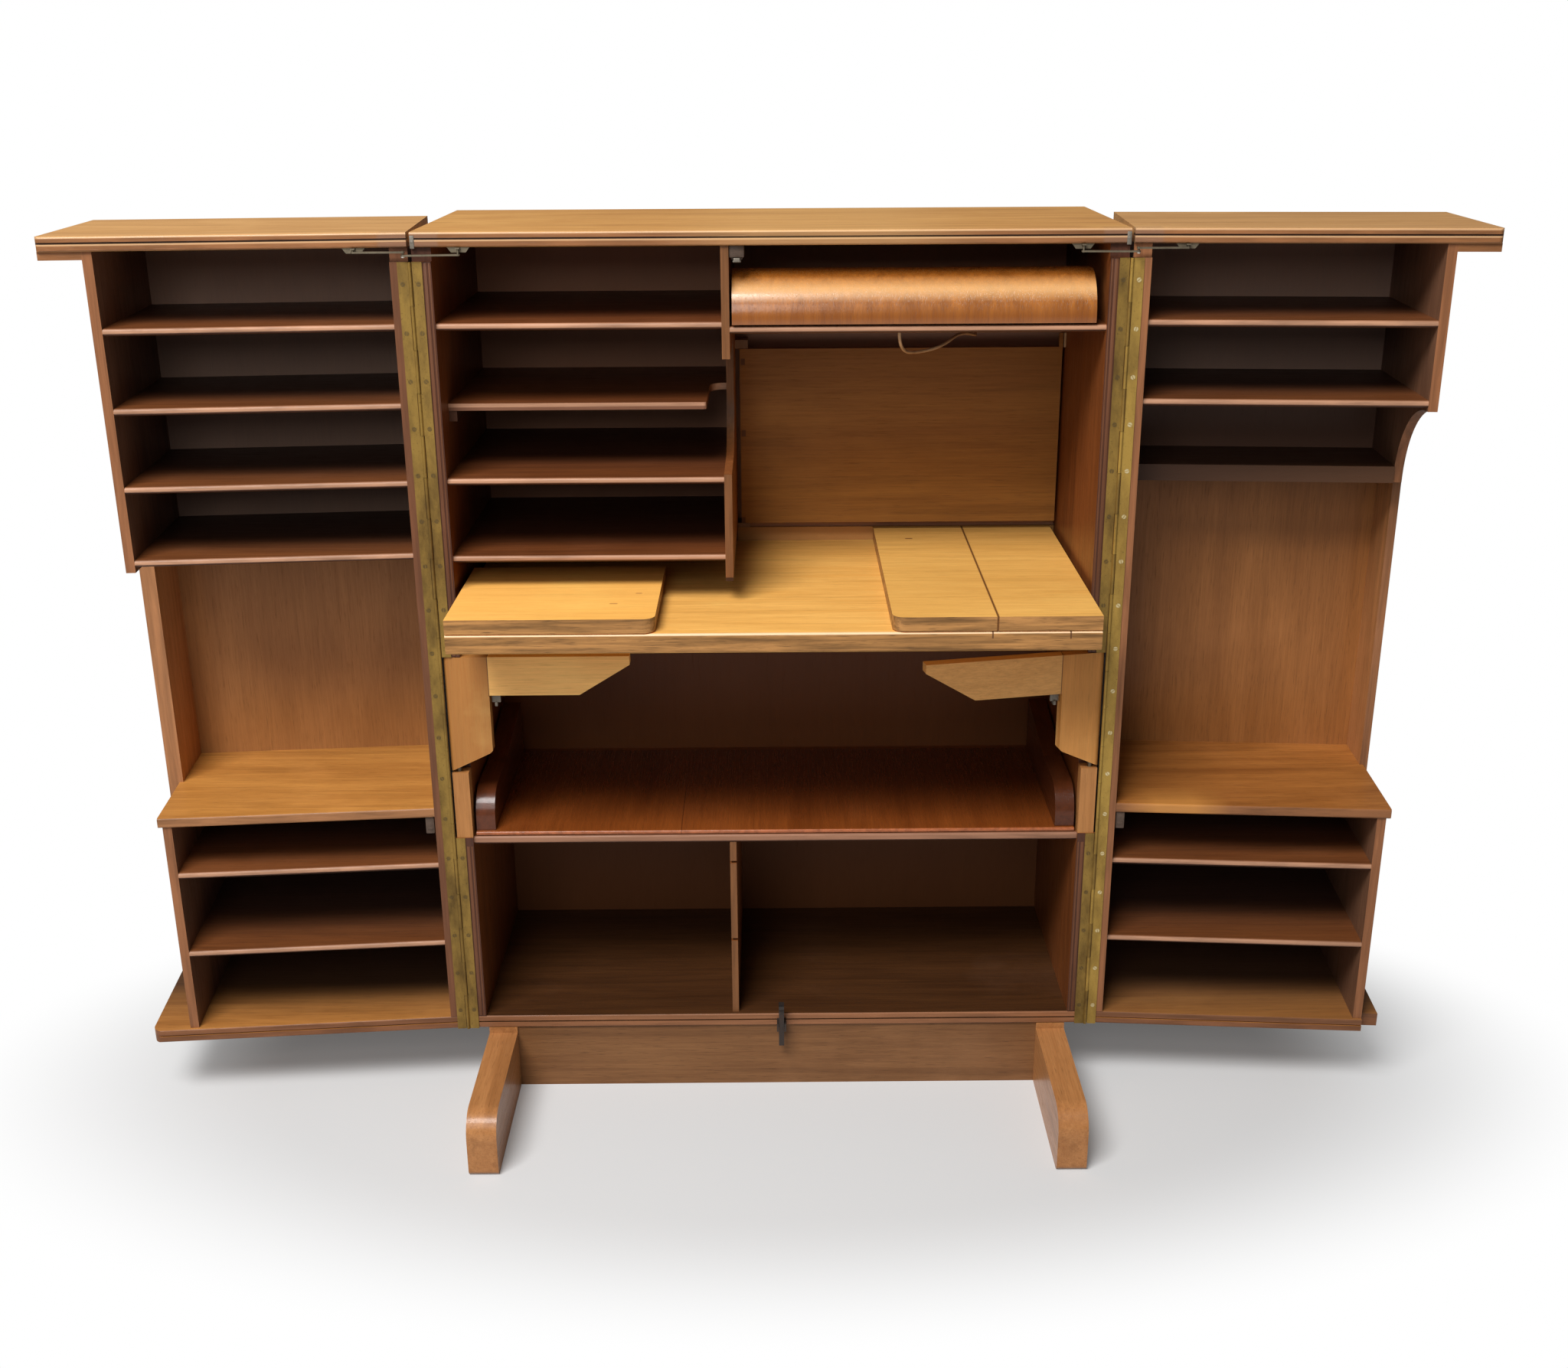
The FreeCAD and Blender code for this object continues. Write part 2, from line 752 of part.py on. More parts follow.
def build_lamp():
    """Lamp shelf, hood pins and the tube lamp that the hood covers."""
    wide = (divider_right, side_inner)
    piece("lamp_shelf", thin_shelf("lamp_board", wide, shelf_y, lamp_shelf_top))
    axis = (hood_axis_y, hood_axis_z)
    left_pin = rod("hood_pin_left", "X", s.hood_pin_radius, (divider_right, *axis),
                   hood_left + s.hood_plate + s.pin_overlap - divider_right)
    bracket_x = (hood_bracket_left, hood_bracket_left + s.hood_bracket_thickness)
    half = s.hood_bracket_half
    cheek = box("hood_bracket", bracket_x, (hood_axis_y - half, hood_axis_y + half),
                (lamp_shelf_top, hood_axis_z + half))
    right_start = hood_right - s.hood_plate - s.pin_overlap
    right_pin = rod("hood_pin_right", "X", s.hood_pin_radius, (right_start, *axis),
                    hood_bracket_left + s.pin_overlap - right_start)
    piece("hood_pivots", group("hood_pivots", left_pin, join("hood_pivot_right", cheek, right_pin)))
    tube = rod("lamp_tube", "X", s.tube_radius, (tube_left, tube_y, tube_z), tube_right - tube_left)
    holders = []
    for name, left in (("left", tube_left - s.holder_width), ("right", tube_right)):
        holders.append(box(f"holder_{name}", (left, left + s.holder_width),
                           (tube_y - s.holder_depth / 2, tube_y + s.holder_depth / 2),
                           (lamp_shelf_top, lamp_shelf_top + s.holder_height)))
    piece("lamp", group("lamp", tube, *holders))


def panel_fitting(name, z, pin_low, axis_y):
    """Cleat beside the upper divider with a pin that the panel turns on."""
    cleat = box(f"panel_cleat_{name}", (divider_right, panel_axis_x + s.panel_axis_inset),
                (panel_front, back_front_face), z)
    pin = rod(f"panel_pin_{name}", "Z", s.panel_pin_radius, (panel_axis_x, axis_y, pin_low),
              s.panel_pin_depth + s.panel_gap)
    return join(f"panel_fitting_{name}", cleat, pin)


def build_service_panel():
    """Swinging panel at the back of the writing space and its fittings."""
    wide = (panel_left, panel_right)
    deep = (panel_front, panel_front + s.panel_thickness)
    axis_y = panel_front + s.panel_thickness / 2
    board = box("panel_board", wide, deep, (panel_bottom, panel_top))
    tongue = box("panel_tongue", (panel_right - s.tongue_width, panel_right),
                 (tongue_front, deep[0] + s.tongue_root),
                 (panel_top - s.tongue_root, panel_top + s.tongue_height))
    radius = s.panel_pin_radius + s.running_clearance
    top_bore = rod("panel_bore_top", "Z", radius, (panel_axis_x, axis_y, panel_top - s.panel_pin_depth),
                   s.panel_pin_depth + over)
    low_bore = rod("panel_bore_low", "Z", radius, (panel_axis_x, axis_y, panel_bottom - over),
                   s.panel_pin_depth + over)
    piece("service_panel", cut("service_panel", join("panel", board, tongue), top_bore, low_bore))
    pin_room = s.panel_pin_depth - s.pin_overlap
    high = panel_top + s.panel_gap
    low = panel_bottom - s.panel_gap
    fittings = [panel_fitting("top", (high, high + s.cleat_height), panel_top - pin_room, axis_y),
                panel_fitting("low", (low - s.cleat_height / 2, low), low - s.pin_overlap, axis_y)]
    fittings.append(box("panel_catch", (side_inner - s.catch_width, side_inner),
                        (tongue_front, panel_front + s.panel_thickness),
                        (panel_top, panel_top + s.tongue_height)))
    piece("panel_fittings", group("panel_fittings", *fittings))


def build_desktop():
    """Pull-out desktop with a stud and washer for each leaf, its runners and the stop behind it."""
    front = -desk_front
    board = nosed("desk_board", (-desk_half_width, desk_half_width * 1), (front, desk_back),
                  (desk_bottom, desk_top), s.desk_edge_round)
    studs = []
    for side in (-1, 1):
        foot = (side * leaf_pin_x, leaf_pin_y, desk_top - s.leaf_pin_root)
        studs.append(rod(f"leaf_stud_{NAMES[side]}", "Z", s.leaf_pin_radius, foot,
                         s.leaf_pin_height + s.leaf_pin_root))
        studs.append(rod(f"leaf_washer_{NAMES[side]}", "Z", s.leaf_washer_radius, foot,
                         s.leaf_pin_root + s.leaf_gap - s.leaf_seat_gap))
    piece("desktop", join("desktop", board, *studs))
    runners = []
    high = desk_bottom - s.slide_gap
    for side in (-1, 1):
        runners.append(box(f"runner_{NAMES[side]}", across(side, side_inner - s.runner_width, side_inner),
                           (notch_back + s.runner_setback, desk_back), (high - s.runner_height, high)))
    stop = box("rear_stop", (divider_right, side_inner), (desk_back + s.rear_stop_gap, back_front_face),
               (leaf_top - s.rear_stop_height, leaf_top))
    piece("desk_runners", group("desk_runners", *runners, stop))


def leaf_bore(name, side):
    """Blind bore in a leaf for its stud."""
    return rod(name, "Z", s.leaf_pin_radius + s.running_clearance,
               (side * leaf_pin_x, leaf_pin_y, desk_top), s.leaf_pin_height + over)


def build_leaves():
    """Short left leaf, and the long right leaf in two boards."""
    front = -desk_front
    left = slab("left_leaf_board", "XY", (
        (-desk_half_width, front),
        (-s.leaf_inner, front, s.leaf_corner_round),
        (-s.leaf_inner, s.leaf_back_short),
        (-desk_half_width, s.leaf_back_short)), leaf_low, leaf_top)
    piece("left_leaf", cut("left_leaf", left, leaf_bore("left_leaf_bore", -1)))
    inner_end = s.leaf_split - s.leaf_joint / 2
    inner = slab("right_leaf_inner_board", "XY", (
        (s.leaf_inner, front, s.leaf_corner_round),
        (inner_end, front),
        (inner_end, desk_back),
        (s.leaf_inner, desk_back)), leaf_low, leaf_top)
    piece("right_leaf_inner", inner)
    outer_start = s.leaf_split + s.leaf_joint / 2
    outer = slab("right_leaf_outer_board", "XY", (
        (outer_start, front),
        (desk_half_width, front),
        (desk_half_width, desk_back),
        (outer_start, desk_back)), leaf_low, leaf_top)
    piece("right_leaf_outer", cut("right_leaf_outer", outer, leaf_bore("right_leaf_bore", 1)))


def build_bracket(side):
    """Swinging bracket, drawn about its own pin so that it can be turned."""
    name = NAMES[side]
    post = s.bracket_post_width
    tall = bracket_top
    arm_bottom = tall - s.bracket_arm_height
    post_rise = bracket_post_bottom + s.bracket_post_chamfer
    profile = (
        (-s.bracket_outer, bracket_post_bottom),
        (post - s.bracket_post_corner, post_rise),
        (post, post_rise + s.bracket_post_corner),
        (post, arm_bottom),
        (s.bracket_slope_start, arm_bottom),
        (s.bracket_tip, tall - s.bracket_tip_height),
        (s.bracket_tip, tall),
        (-s.bracket_outer, tall),
    )
    mirrored = [(-side * x, z) for x, z in profile]
    half = s.bracket_thickness / 2
    face = slab(f"bracket_{name}_face", "XZ", mirrored, -half, half)
    outer = side * s.bracket_outer
    tip = -side * s.bracket_tip
    plan_corners = ((outer, -half, s.bracket_end_round), (tip, -half), (tip, half),
                    (outer, half, s.bracket_end_round))
    plan = slab(f"bracket_{name}_plan", "XY", plan_corners, bracket_post_bottom - over, tall + over)
    bore = rod(f"bracket_{name}_bore", "Z", s.bracket_pin_radius + s.running_clearance,
               (0, 0, bracket_post_bottom - over), tall - bracket_post_bottom + over * 2)
    part = cut(f"bracket_{name}", overlap(f"bracket_{name}", face, plan), bore)
    turn = s.bracket_rest_turn if side > 0 else 0
    where = spot(side * bracket_pin_x, s.bracket_pin_y + front_plane, 0, turn=turn)
    piece(f"bracket_{name}", part, where)


def build_bracket_mounts():
    """Battens below the brackets and the pins that the brackets turn on."""
    battens = []
    pins = []
    start = batten_top - s.pin_hold
    for side in (-1, 1):
        name = NAMES[side]
        board = box(f"batten_{name}", across(side, side_inner, cabinet_half_width - s.batten_inset),
                    (s.wood_setback + s.batten_setback, notch_back), (middle_shelf_top, batten_top))
        centre = (side * bracket_pin_x, s.bracket_pin_y)
        bore = rod(f"batten_{name}_bore", "Z", s.bracket_pin_radius, (*centre, start), s.pin_hold + over)
        battens.append(cut(f"batten_{name}", board, bore))
        pins.append(rod(f"bracket_pin_{name}", "Z", s.bracket_pin_radius, (*centre, start),
                        notch_top + s.pin_hold - start))
    piece("bracket_battens", group("bracket_battens", *battens))
    piece("bracket_pins", group("bracket_pins", *pins))


def build_tray():
    """Low tray on the middle shelf, with a curved rail at each side."""
    low = middle_shelf_top + s.slide_gap
    top = low + s.tray_thickness
    half = tray_half_width
    board = nosed("tray_board", (-half, half * 1), (tray_front, tray_back), (low, top), s.tray_edge_round)
    piece("tray", board)
    front = tray_front + s.rail_front_setback
    back = tray_back - s.rail_back_setback
    corners = (
        (front, top),
        (front, top + s.rail_front_height, s.rail_curve),
        (front + s.rail_level, top + s.rail_front_height),
        (back, top + s.rail_back_height),
        (back, top),
    )
    rails = []
    for side in (-1, 1):
        rails.append(slab(f"rail_{NAMES[side]}", "YZ", corners, *across(side, half - s.rail_width, half)))
    piece("tray_rails", group("tray_rails", *rails))


def build_latch():
    """Rocking latch hook in its small forked bracket."""
    axis = (-s.latch_axis_y, latch_axis_z)
    half = s.latch_ear_half
    ears = []
    for name, left in (("left", s.latch_left), ("right", latch_right - s.latch_ear)):
        ears.append(box(f"latch_ear_{name}", (left, left + s.latch_ear), (axis[0] - half, s.wood_setback),
                        (axis[1] - half, axis[1] + half)))
    web = box("latch_web", (s.latch_left, latch_right),
              (s.wood_setback - s.latch_web_thickness, s.wood_setback), (axis[1] - half, axis[1] + half))
    pin = rod("latch_pin", "X", s.latch_pin_radius, (s.latch_left, *axis), latch_right - s.latch_left)
    piece("latch_bracket", join("latch_bracket", *ears, web, pin))
    front = -s.latch_front
    back = -s.latch_back
    tail = latch_axis_z - s.latch_drop
    tip = latch_axis_z + s.latch_rise
    corners = (
        (front, tail),
        (back, tail),
        (back, tip),
        (front - s.latch_barb, tip),
        (front - s.latch_barb, tip - s.latch_barb),
        (front, tip - s.latch_barb * 2),
    )
    inner = (s.latch_left + s.latch_ear + s.latch_gap, latch_right - s.latch_ear - s.latch_gap)
    hook = slab("latch_bar", "YZ", corners, *inner)
    bore = rod("latch_bore", "X", s.latch_pin_radius + s.running_clearance, (inner[0] - over, *axis),
               inner[1] - inner[0] + over * 2)
    piece("latch_hook", cut("latch_hook", hook, bore))


# The cord hangs in a shallow loop below the lamp shelf and ends at the back board.
CORD_POINTS = ((159, 20, 1075), (159, 20, 1050), (190, 100, 1036), (222, 112, 1042), (250, 150, 1056),
               (286, 240, 1036), (286, 326, 1030))
CORD_BENDS = (10, 14, 14, 16, 25)


def cord_wire():
    """Straight runs joined by tangent arcs."""
    points = [V(x, y, z) for x, y, z in CORD_POINTS]
    edges = []
    start = points[0]
    for before, here, after, radius in zip(points, points[1:], points[2:], CORD_BENDS):
        back = (before - here).normalize()
        ahead = (after - here).normalize()
        half = back.getAngle(ahead) / 2
        reach = radius / math.tan(half)
        first = here + back * reach
        last = here + ahead * reach
        inward = (back + ahead).normalize()
        centre = here + inward * (radius / math.sin(half))
        edges.append(Part.LineSegment(start, first).toShape())
        edges.append(Part.Arc(first, centre - inward * radius, last).toShape())
        start = last
    edges.append(Part.LineSegment(start, points[-1]).toShape())
    return Part.Wire(edges)


def build_cord():
    """Flat flex from the lamp to the back board."""
    wire = cord_wire()
    start = V(*CORD_POINTS[0])
    section = Part.Wire(Part.Circle(start, wire.Edges[0].tangentAt(0), SIZES["cord_radius"]).toShape())
    shape = wire.makePipeShell([section], True, True)
    expected = wire.Length * math.pi * SIZES["cord_radius"] ** 2
    print("cord length", round(wire.Length, 1), "volume ratio", round(shape.Volume / expected, 4))
    part = doc.addObject("Part::Feature", "cord")
    part.Shape = shape
    part.Placement = FreeCAD.Placement()
    piece("lamp_cord", part)


def door_box(side, name, x, y, z):
    """Box in a door's own frame, x counted outward from the hinge."""
    return box(name, across(side, x[0], x[1]), y, z)


def door_shelf(side, name, x, top):
    """Thin shelf inside a door, rounded at its open front."""
    return thin_shelf(name, across(side, *x), (s.shelf_front, door_panel_front), top)


def rounded_plan(side, name, board, radius):
    """Board whose outer front corner is rounded as seen from above."""
    x = across(side, s.hinge_gap, door_width)
    front, back = s.wood_setback, s.door_depth
    corners = [(x[0], front), (x[1], front), (x[1], back), (x[0], back)]
    corners[side > 0] += (radius,)
    plan = slab(f"{name}_plan", "XY", corners, s.floor_underside - over, s.total_height + over)
    return overlap(name, board, plan)


def build_door_frame(side):
    """Door top, bottom, panel and hinge wall."""
    name = "door_" + NAMES[side]
    frame = DOOR[side]
    wide = (s.hinge_gap, door_width)
    deep = (s.wood_setback, s.door_depth)
    board = lipped(f"{name}_top_board", across(side, *wide), deep, (top_underside, s.total_height))
    board = rounded_plan(side, f"{name}_top_round", board, s.door_top_corner)
    grip = door_box(side, f"{name}_grip", (outer_wall_end, door_width),
                    (s.shelf_front, door_panel_front), (top_underside - s.grip_height, top_underside))
    piece(f"{name}_top", group(f"{name}_top", board, grip), frame)
    panel_end = door_width if side < 0 else s.right_panel_end
    panel = door_box(side, f"{name}_panel_board", (s.hinge_gap, panel_end),
                     (door_panel_front, s.door_depth), (s.floor_underside, top_underside))
    piece(f"{name}_panel", panel, frame)
    wall = door_box(side, f"{name}_wall_board", (s.hinge_gap, door_wall_end),
                    (s.wood_setback, door_panel_front), (floor_top, top_underside))
    room = door_box(side, f"{name}_stay_room", (s.hinge_gap - over, door_wall_end + over),
                    (s.wood_setback - over, s.wood_setback + s.stay_notch_depth),
                    (stay_notch_bottom, top_underside + over))
    piece(f"{name}_hinge_wall", cut(f"{name}_wall", wall, room), frame)


def build_door_bottom(side):
    """Door bottom board; the right one steps back beyond its outer wall."""
    name = "door_" + NAMES[side]
    height = (s.floor_underside, floor_top)
    deep = (s.wood_setback, door_panel_front)
    if side < 0:
        board = lipped(f"{name}_floor", across(side, s.hinge_gap, door_width), deep, height)
        board = rounded_plan(side, f"{name}_floor_round", board, s.door_floor_corner)
        piece(f"{name}_bottom", board, DOOR[side])
        return
    board = lipped(f"{name}_floor", across(side, s.hinge_gap, outer_wall_end), deep, height)
    step = door_box(side, f"{name}_step", (outer_wall_end, s.right_panel_end),
                    (s.right_floor_setback, door_panel_front), height)
    piece(f"{name}_bottom", join(f"{name}_bottom", board, step), DOOR[side])


def build_outer_walls(side):
    """Lower and upper outer walls of a door's shelves."""
    name = "door_" + NAMES[side]
    wide = across(side, s.door_outer_wall, outer_wall_end)
    front, back = s.shelf_front, door_panel_front
    lower_top = door_counter_top - s.door_counter_thickness
    lower = box(f"{name}_lower_wall", wide, (front, back), (floor_top, lower_top))
    if side < 0:
        end = s.total_height - s.door_shelf_fourth_drop - s.thin_board - s.left_wall_tail
        upper = box(f"{name}_upper_wall", wide, (front, back), (end, top_underside))
    else:
        corners = (
            (front, right_wall_end),
            (front, top_underside),
            (back, top_underside),
            (back, rail_bottom),
            (right_wall_reach, rail_bottom),
            (right_wall_reach, right_wall_end, right_wall_curve),
        )
        upper = slab(f"{name}_upper_wall", "YZ", corners, *wide)
    piece(f"{name}_outer_walls", group(f"{name}_outer_walls", lower, upper), DOOR[side])


def build_door_shelves(side):
    """Counter and shelves of a door."""
    name = "door_" + NAMES[side]
    wide = (door_wall_end, s.door_outer_wall)
    drops = [s.door_shelf_first_drop, s.door_shelf_second_drop]
    if side < 0:
        drops += [s.door_shelf_third_drop, s.door_shelf_fourth_drop]
    tops = [s.total_height - drop for drop in drops] + [door_shelf_low, door_shelf_high]
    shelves = [door_shelf(side, f"{name}_shelf{i}", wide, top) for i, top in enumerate(tops)]
    if side > 0:
        rail_front = right_wall_reach - s.set_back_rail_lead
        front = rail_front + s.set_back_rail_depth
        top = s.total_height - s.set_back_shelf_drop
        shelves.append(box(f"{name}_back_shelf", across(side, *wide), (front, door_panel_front),
                           (top - s.thin_board, top)))
        shelves.append(box(f"{name}_rail", across(side, *wide), (rail_front, front),
                           (rail_bottom, top)))
    piece(f"{name}_shelves", group(f"{name}_shelves", *shelves), DOOR[side])
    build_counter(side)


def build_counter(side):
    """Counter over the lower shelves, notched around the side board."""
    name = "door_" + NAMES[side]
    top = door_counter_top
    low = top - s.door_counter_thickness
    end = outer_wall_end + s.door_counter_overhang
    board = nosed(f"{name}_counter_board", across(side, door_wall_end, end),
                  (s.wood_setback + s.door_counter_setback, door_panel_front), (low, top), s.desk_edge_round)
    notch = door_box(side, f"{name}_counter_notch", (outer_wall_end, end + over),
                     (side_board(side)[1], door_panel_front + over), (low - over, top + over))
    piece(f"{name}_counter", cut(f"{name}_counter", board, notch), DOOR[side])


def side_board(side):
    """Thickness and front face of a door's side board."""
    if side < 0:
        return s.left_side_thickness, s.left_side_front
    return s.right_side_thickness, s.right_side_front


def build_side_board(side):
    """Outer side of a door, outside the shelf walls and set back to clear the desktop."""
    name = "door_" + NAMES[side]
    thickness, front = side_board(side)
    board = door_box(side, f"{name}_side", (outer_wall_end, outer_wall_end + thickness),
                     (front, door_panel_front), (floor_top, top_underside - s.grip_height))
    piece(f"{name}_side_board", board, DOOR[side])


def knuckle_span(i):
    """Lower and upper end of one knuckle, counted from the foot of the hinge."""
    low = s.floor_underside + s.knuckle_pitch * i + s.knuckle_gap / 2
    return low, low + s.knuckle_pitch - s.knuckle_gap


def knuckle_count():
    """How many knuckles the hinge has in all."""
    return int((hinge_top - s.floor_underside).number / s.knuckle_pitch.number)


def knuckles_within(z):
    """Every other knuckle that lies wholly between two heights."""
    spans = {i: knuckle_span(i) for i in range(0, knuckle_count(), 2)}
    return [i for i, (low, high) in spans.items() if low.number >= z[0].number and high.number <= z[1].number]


def knuckles(name, centre_side, turns, z, leaf_x):
    """Hinge leaf with its own knuckles, about the hinge axis at x = 0."""
    leaf = box(f"{name}_plate", leaf_x, (s.hinge_leaf_front, s.wood_setback), z)
    rolls = []
    for i in turns:
        low, high = knuckle_span(i)
        roll = rod(f"{name}_roll{i}", "Z", s.knuckle_radius, (0, 0, low), high - low)
        foot = box(f"{name}_foot{i}", across(centre_side, size(0), s.knuckle_radius + s.knuckle_foot),
                   (s.hinge_leaf_front, s.wood_setback), (low, high))
        rolls += [roll, foot]
    bore = rod(f"{name}_bore", "Z", s.hinge_pin_radius + s.hinge_bore_clearance, (0, 0, z[0] - over),
               z[1] - z[0] + over * 2)
    return cut(name, join(name, leaf, *rolls), bore)


def build_hinges():
    """Long piano hinges: cabinet leaves in two lengths, door leaves and pins."""
    near = s.knuckle_radius + s.hinge_leaf_gap
    spans = {"low": (s.floor_underside, middle_shelf_top), "high": (notch_top, hinge_top)}
    taken = {part_name: knuckles_within(z) for part_name, z in spans.items()}
    left_over = [i for i in range(knuckle_count()) if i not in taken["low"] + taken["high"]]
    cabinet = []
    pins = []
    for side in (-1, 1):
        name = NAMES[side]
        for part_name, z in spans.items():
            leaf_x = across(-side, near, s.hinge_leaf_width)
            leaf = knuckles(f"leaf_{name}_{part_name}", -side, taken[part_name], z, leaf_x)
            leaf.setExpression("Placement", spot(side * s.hinge_half_span, 0, 0))
            cabinet.append(leaf)
        pins.append(rod(f"hinge_pin_{name}", "Z", s.hinge_pin_radius,
                        (side * s.hinge_half_span, 0, s.floor_underside), hinge_top - s.floor_underside))
        full = (s.floor_underside, hinge_top)
        leaf = knuckles(f"door_leaf_{name}", side, left_over, full, across(side, near, s.hinge_leaf_width))
        piece(f"door_{name}_hinge_leaf", leaf, DOOR[side])
    piece("cabinet_hinge_leaves", group("cabinet_hinge_leaves", *cabinet))
    piece("hinge_pins", group("hinge_pins", *pins))


def staple(name, x, link_bottom):
    """Small plate under a top board, with a tab and the pin that one link turns on."""
    half_top, half_low = s.stay_plate_half_top, s.stay_plate_half_bottom
    low = top_underside - s.stay_plate_drop
    corners = ((x - half_top, top_underside), (x + half_top, top_underside), (x + half_low, low),
               (x - half_low, low))
    front = s.stay_plate_front
    plate = slab(f"{name}_plate", "XZ", corners, front, front + s.stay_plate_thickness)
    tab = box(f"{name}_tab", (x - s.stay_tab_width / 2, x + s.stay_tab_width / 2),
              (-s.stay_tab_reach, front + s.pin_overlap),
              (stay_tab_bottom, stay_tab_bottom + s.stay_tab_thickness))
    bottom = link_bottom - s.stay_pin_tail
    pin = rod(f"{name}_pin", "Z", s.stay_pin_radius, (x, 0, bottom), stay_tab_bottom + s.pin_overlap - bottom)
    return join(name, plate, tab, pin)


def build_staples():
    """Fixed ends of the stays on the cabinet and on each door."""
    fixed = []
    for side in (-1, 1):
        name = NAMES[side]
        x = side * (s.hinge_half_span - s.stay_cabinet_reach)
        fixed.append(staple(f"staple_{name}", x, stay_low_bottom))
        door_staple = staple(f"door_staple_{name}", side * s.stay_door_reach, stay_high_bottom)
        piece(f"door_{name}_staple", door_staple, DOOR[side])
    piece("cabinet_staples", group("cabinet_staples", *fixed))


def link(name, reach, low, far_hole):
    """Flat link with rounded ends, from its own pivot along x."""
    high = low + s.stay_link_thickness
    half = s.stay_half_width
    ends = (size(0), reach) if reach.number > 0 else (reach, size(0))
    bar = box(f"{name}_bar", ends, (-half, half * 1), (low, high))
    rounds = [rod(f"{name}_end{i}", "Z", half, (x, 0, low), high - low) for i, x in enumerate((0, reach))]
    near = s.stay_pin_radius + s.running_clearance
    holes = [rod(f"{name}_hole0", "Z", near, (0, 0, low - over), high - low + over * 2)]
    if far_hole:
        wide = s.stay_pin_radius + s.stay_pivot_clearance
        holes.append(rod(f"{name}_hole1", "Z", wide, (reach, 0, low - over), high - low + over * 2))
    return cut(name, join(name, bar, *rounds), *holes)


def build_stays():
    """Two links for each door; the lower one carries the rivet that joins them."""
    for side in (-1, 1):
        name = NAMES[side]
        turn = -side * s.door_rest_turn
        low = stay_low_bottom
        cabinet_link = link(f"stay_{name}_low", side * s.stay_door_reach, low, False)
        rivet = rod(f"stay_{name}_rivet", "Z", s.stay_pin_radius, (side * s.stay_door_reach, 0, low),
                    stay_high_bottom + s.stay_link_thickness + s.stay_rivet_head - low)
        where = spot(side * (s.hinge_half_span - s.stay_cabinet_reach), front_plane, 0, turn=turn)
        piece(f"stay_{name}_cabinet_link", join(f"stay_{name}_riveted", cabinet_link, rivet), where)
        door_link = link(f"stay_{name}_high", -side * s.stay_cabinet_reach, stay_high_bottom, True)
        own = spot(side * s.stay_door_reach, 0, 0, turn=-turn)
        piece(f"stay_{name}_door_link", door_link, f"{DOOR[side]} * {own}")


build_base()
build_shell()
build_lower_cabinet()
build_pigeonholes()
build_hood()
build_lamp()
build_cord()
build_service_panel()
build_desktop()
build_leaves()
build_bracket(-1)
build_bracket(1)
build_bracket_mounts()
build_tray()
build_latch()
build_hinges()
build_staples()
build_stays()
for door_side in (-1, 1):
    build_door_frame(door_side)
    build_door_bottom(door_side)
    build_outer_walls(door_side)
    build_door_shelves(door_side)
    build_side_board(door_side)

doc.recompute()
bad = [o.Name for o in doc.Objects if "Invalid" in o.State or "Error" in o.State]
bad += [o.Name for o in doc.Objects if hasattr(o, "Shape") and (o.Shape.isNull() or not o.Shape.isValid())]
if bad:
    raise RuntimeError(f"failed objects: {bad}")
os.makedirs("parts", exist_ok=True)
for part in pieces:
    part.Shape.exportStep(f"parts/{part.Label}.step")
    room = part.Shape.BoundBox
    print(part.Label, len(part.Shape.Solids), [round(v, 1) for v in (
        room.XMin, room.XMax, room.YMin, room.YMax, room.ZMin, room.ZMax)])
print(len(pieces), "sub-parts")
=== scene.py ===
import math

import bmesh
import bpy
from mathutils import Matrix, Vector


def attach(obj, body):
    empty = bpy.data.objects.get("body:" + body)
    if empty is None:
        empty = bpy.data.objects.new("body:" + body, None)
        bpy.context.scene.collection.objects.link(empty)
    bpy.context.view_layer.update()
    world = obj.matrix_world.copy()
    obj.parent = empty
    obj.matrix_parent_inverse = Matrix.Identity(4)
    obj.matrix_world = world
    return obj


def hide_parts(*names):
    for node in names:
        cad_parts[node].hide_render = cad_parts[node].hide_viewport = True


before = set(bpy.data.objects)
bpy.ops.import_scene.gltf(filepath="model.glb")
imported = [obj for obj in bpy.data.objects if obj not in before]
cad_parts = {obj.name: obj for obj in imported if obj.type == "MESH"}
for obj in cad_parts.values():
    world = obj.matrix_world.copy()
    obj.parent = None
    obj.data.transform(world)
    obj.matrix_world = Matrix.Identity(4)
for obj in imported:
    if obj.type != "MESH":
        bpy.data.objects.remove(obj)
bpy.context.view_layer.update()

# Places in metres: x to the right, y to the rear, z up from the floor.
SIDES = {"left": -1, "right": 1}
HINGE_PLANE = -0.064
HINGE_SPAN = 0.440
DOOR_TURN = math.radians(4.5)
BRACKET_PIN = (0.427, 0.0105)
BRACKET_TURNS = {"left": 0, "right": math.radians(11)}


# ---------------------------------------------------------------- node trees

# Sockets of a Mix node for colours, and for coordinates.
COLOUR_IN = (0, 6, 7)
COLOUR_OUT = 2
VECTOR_IN = (0, 4, 5)
VECTOR_OUT = 1

EVEN = (1, 1, 1)


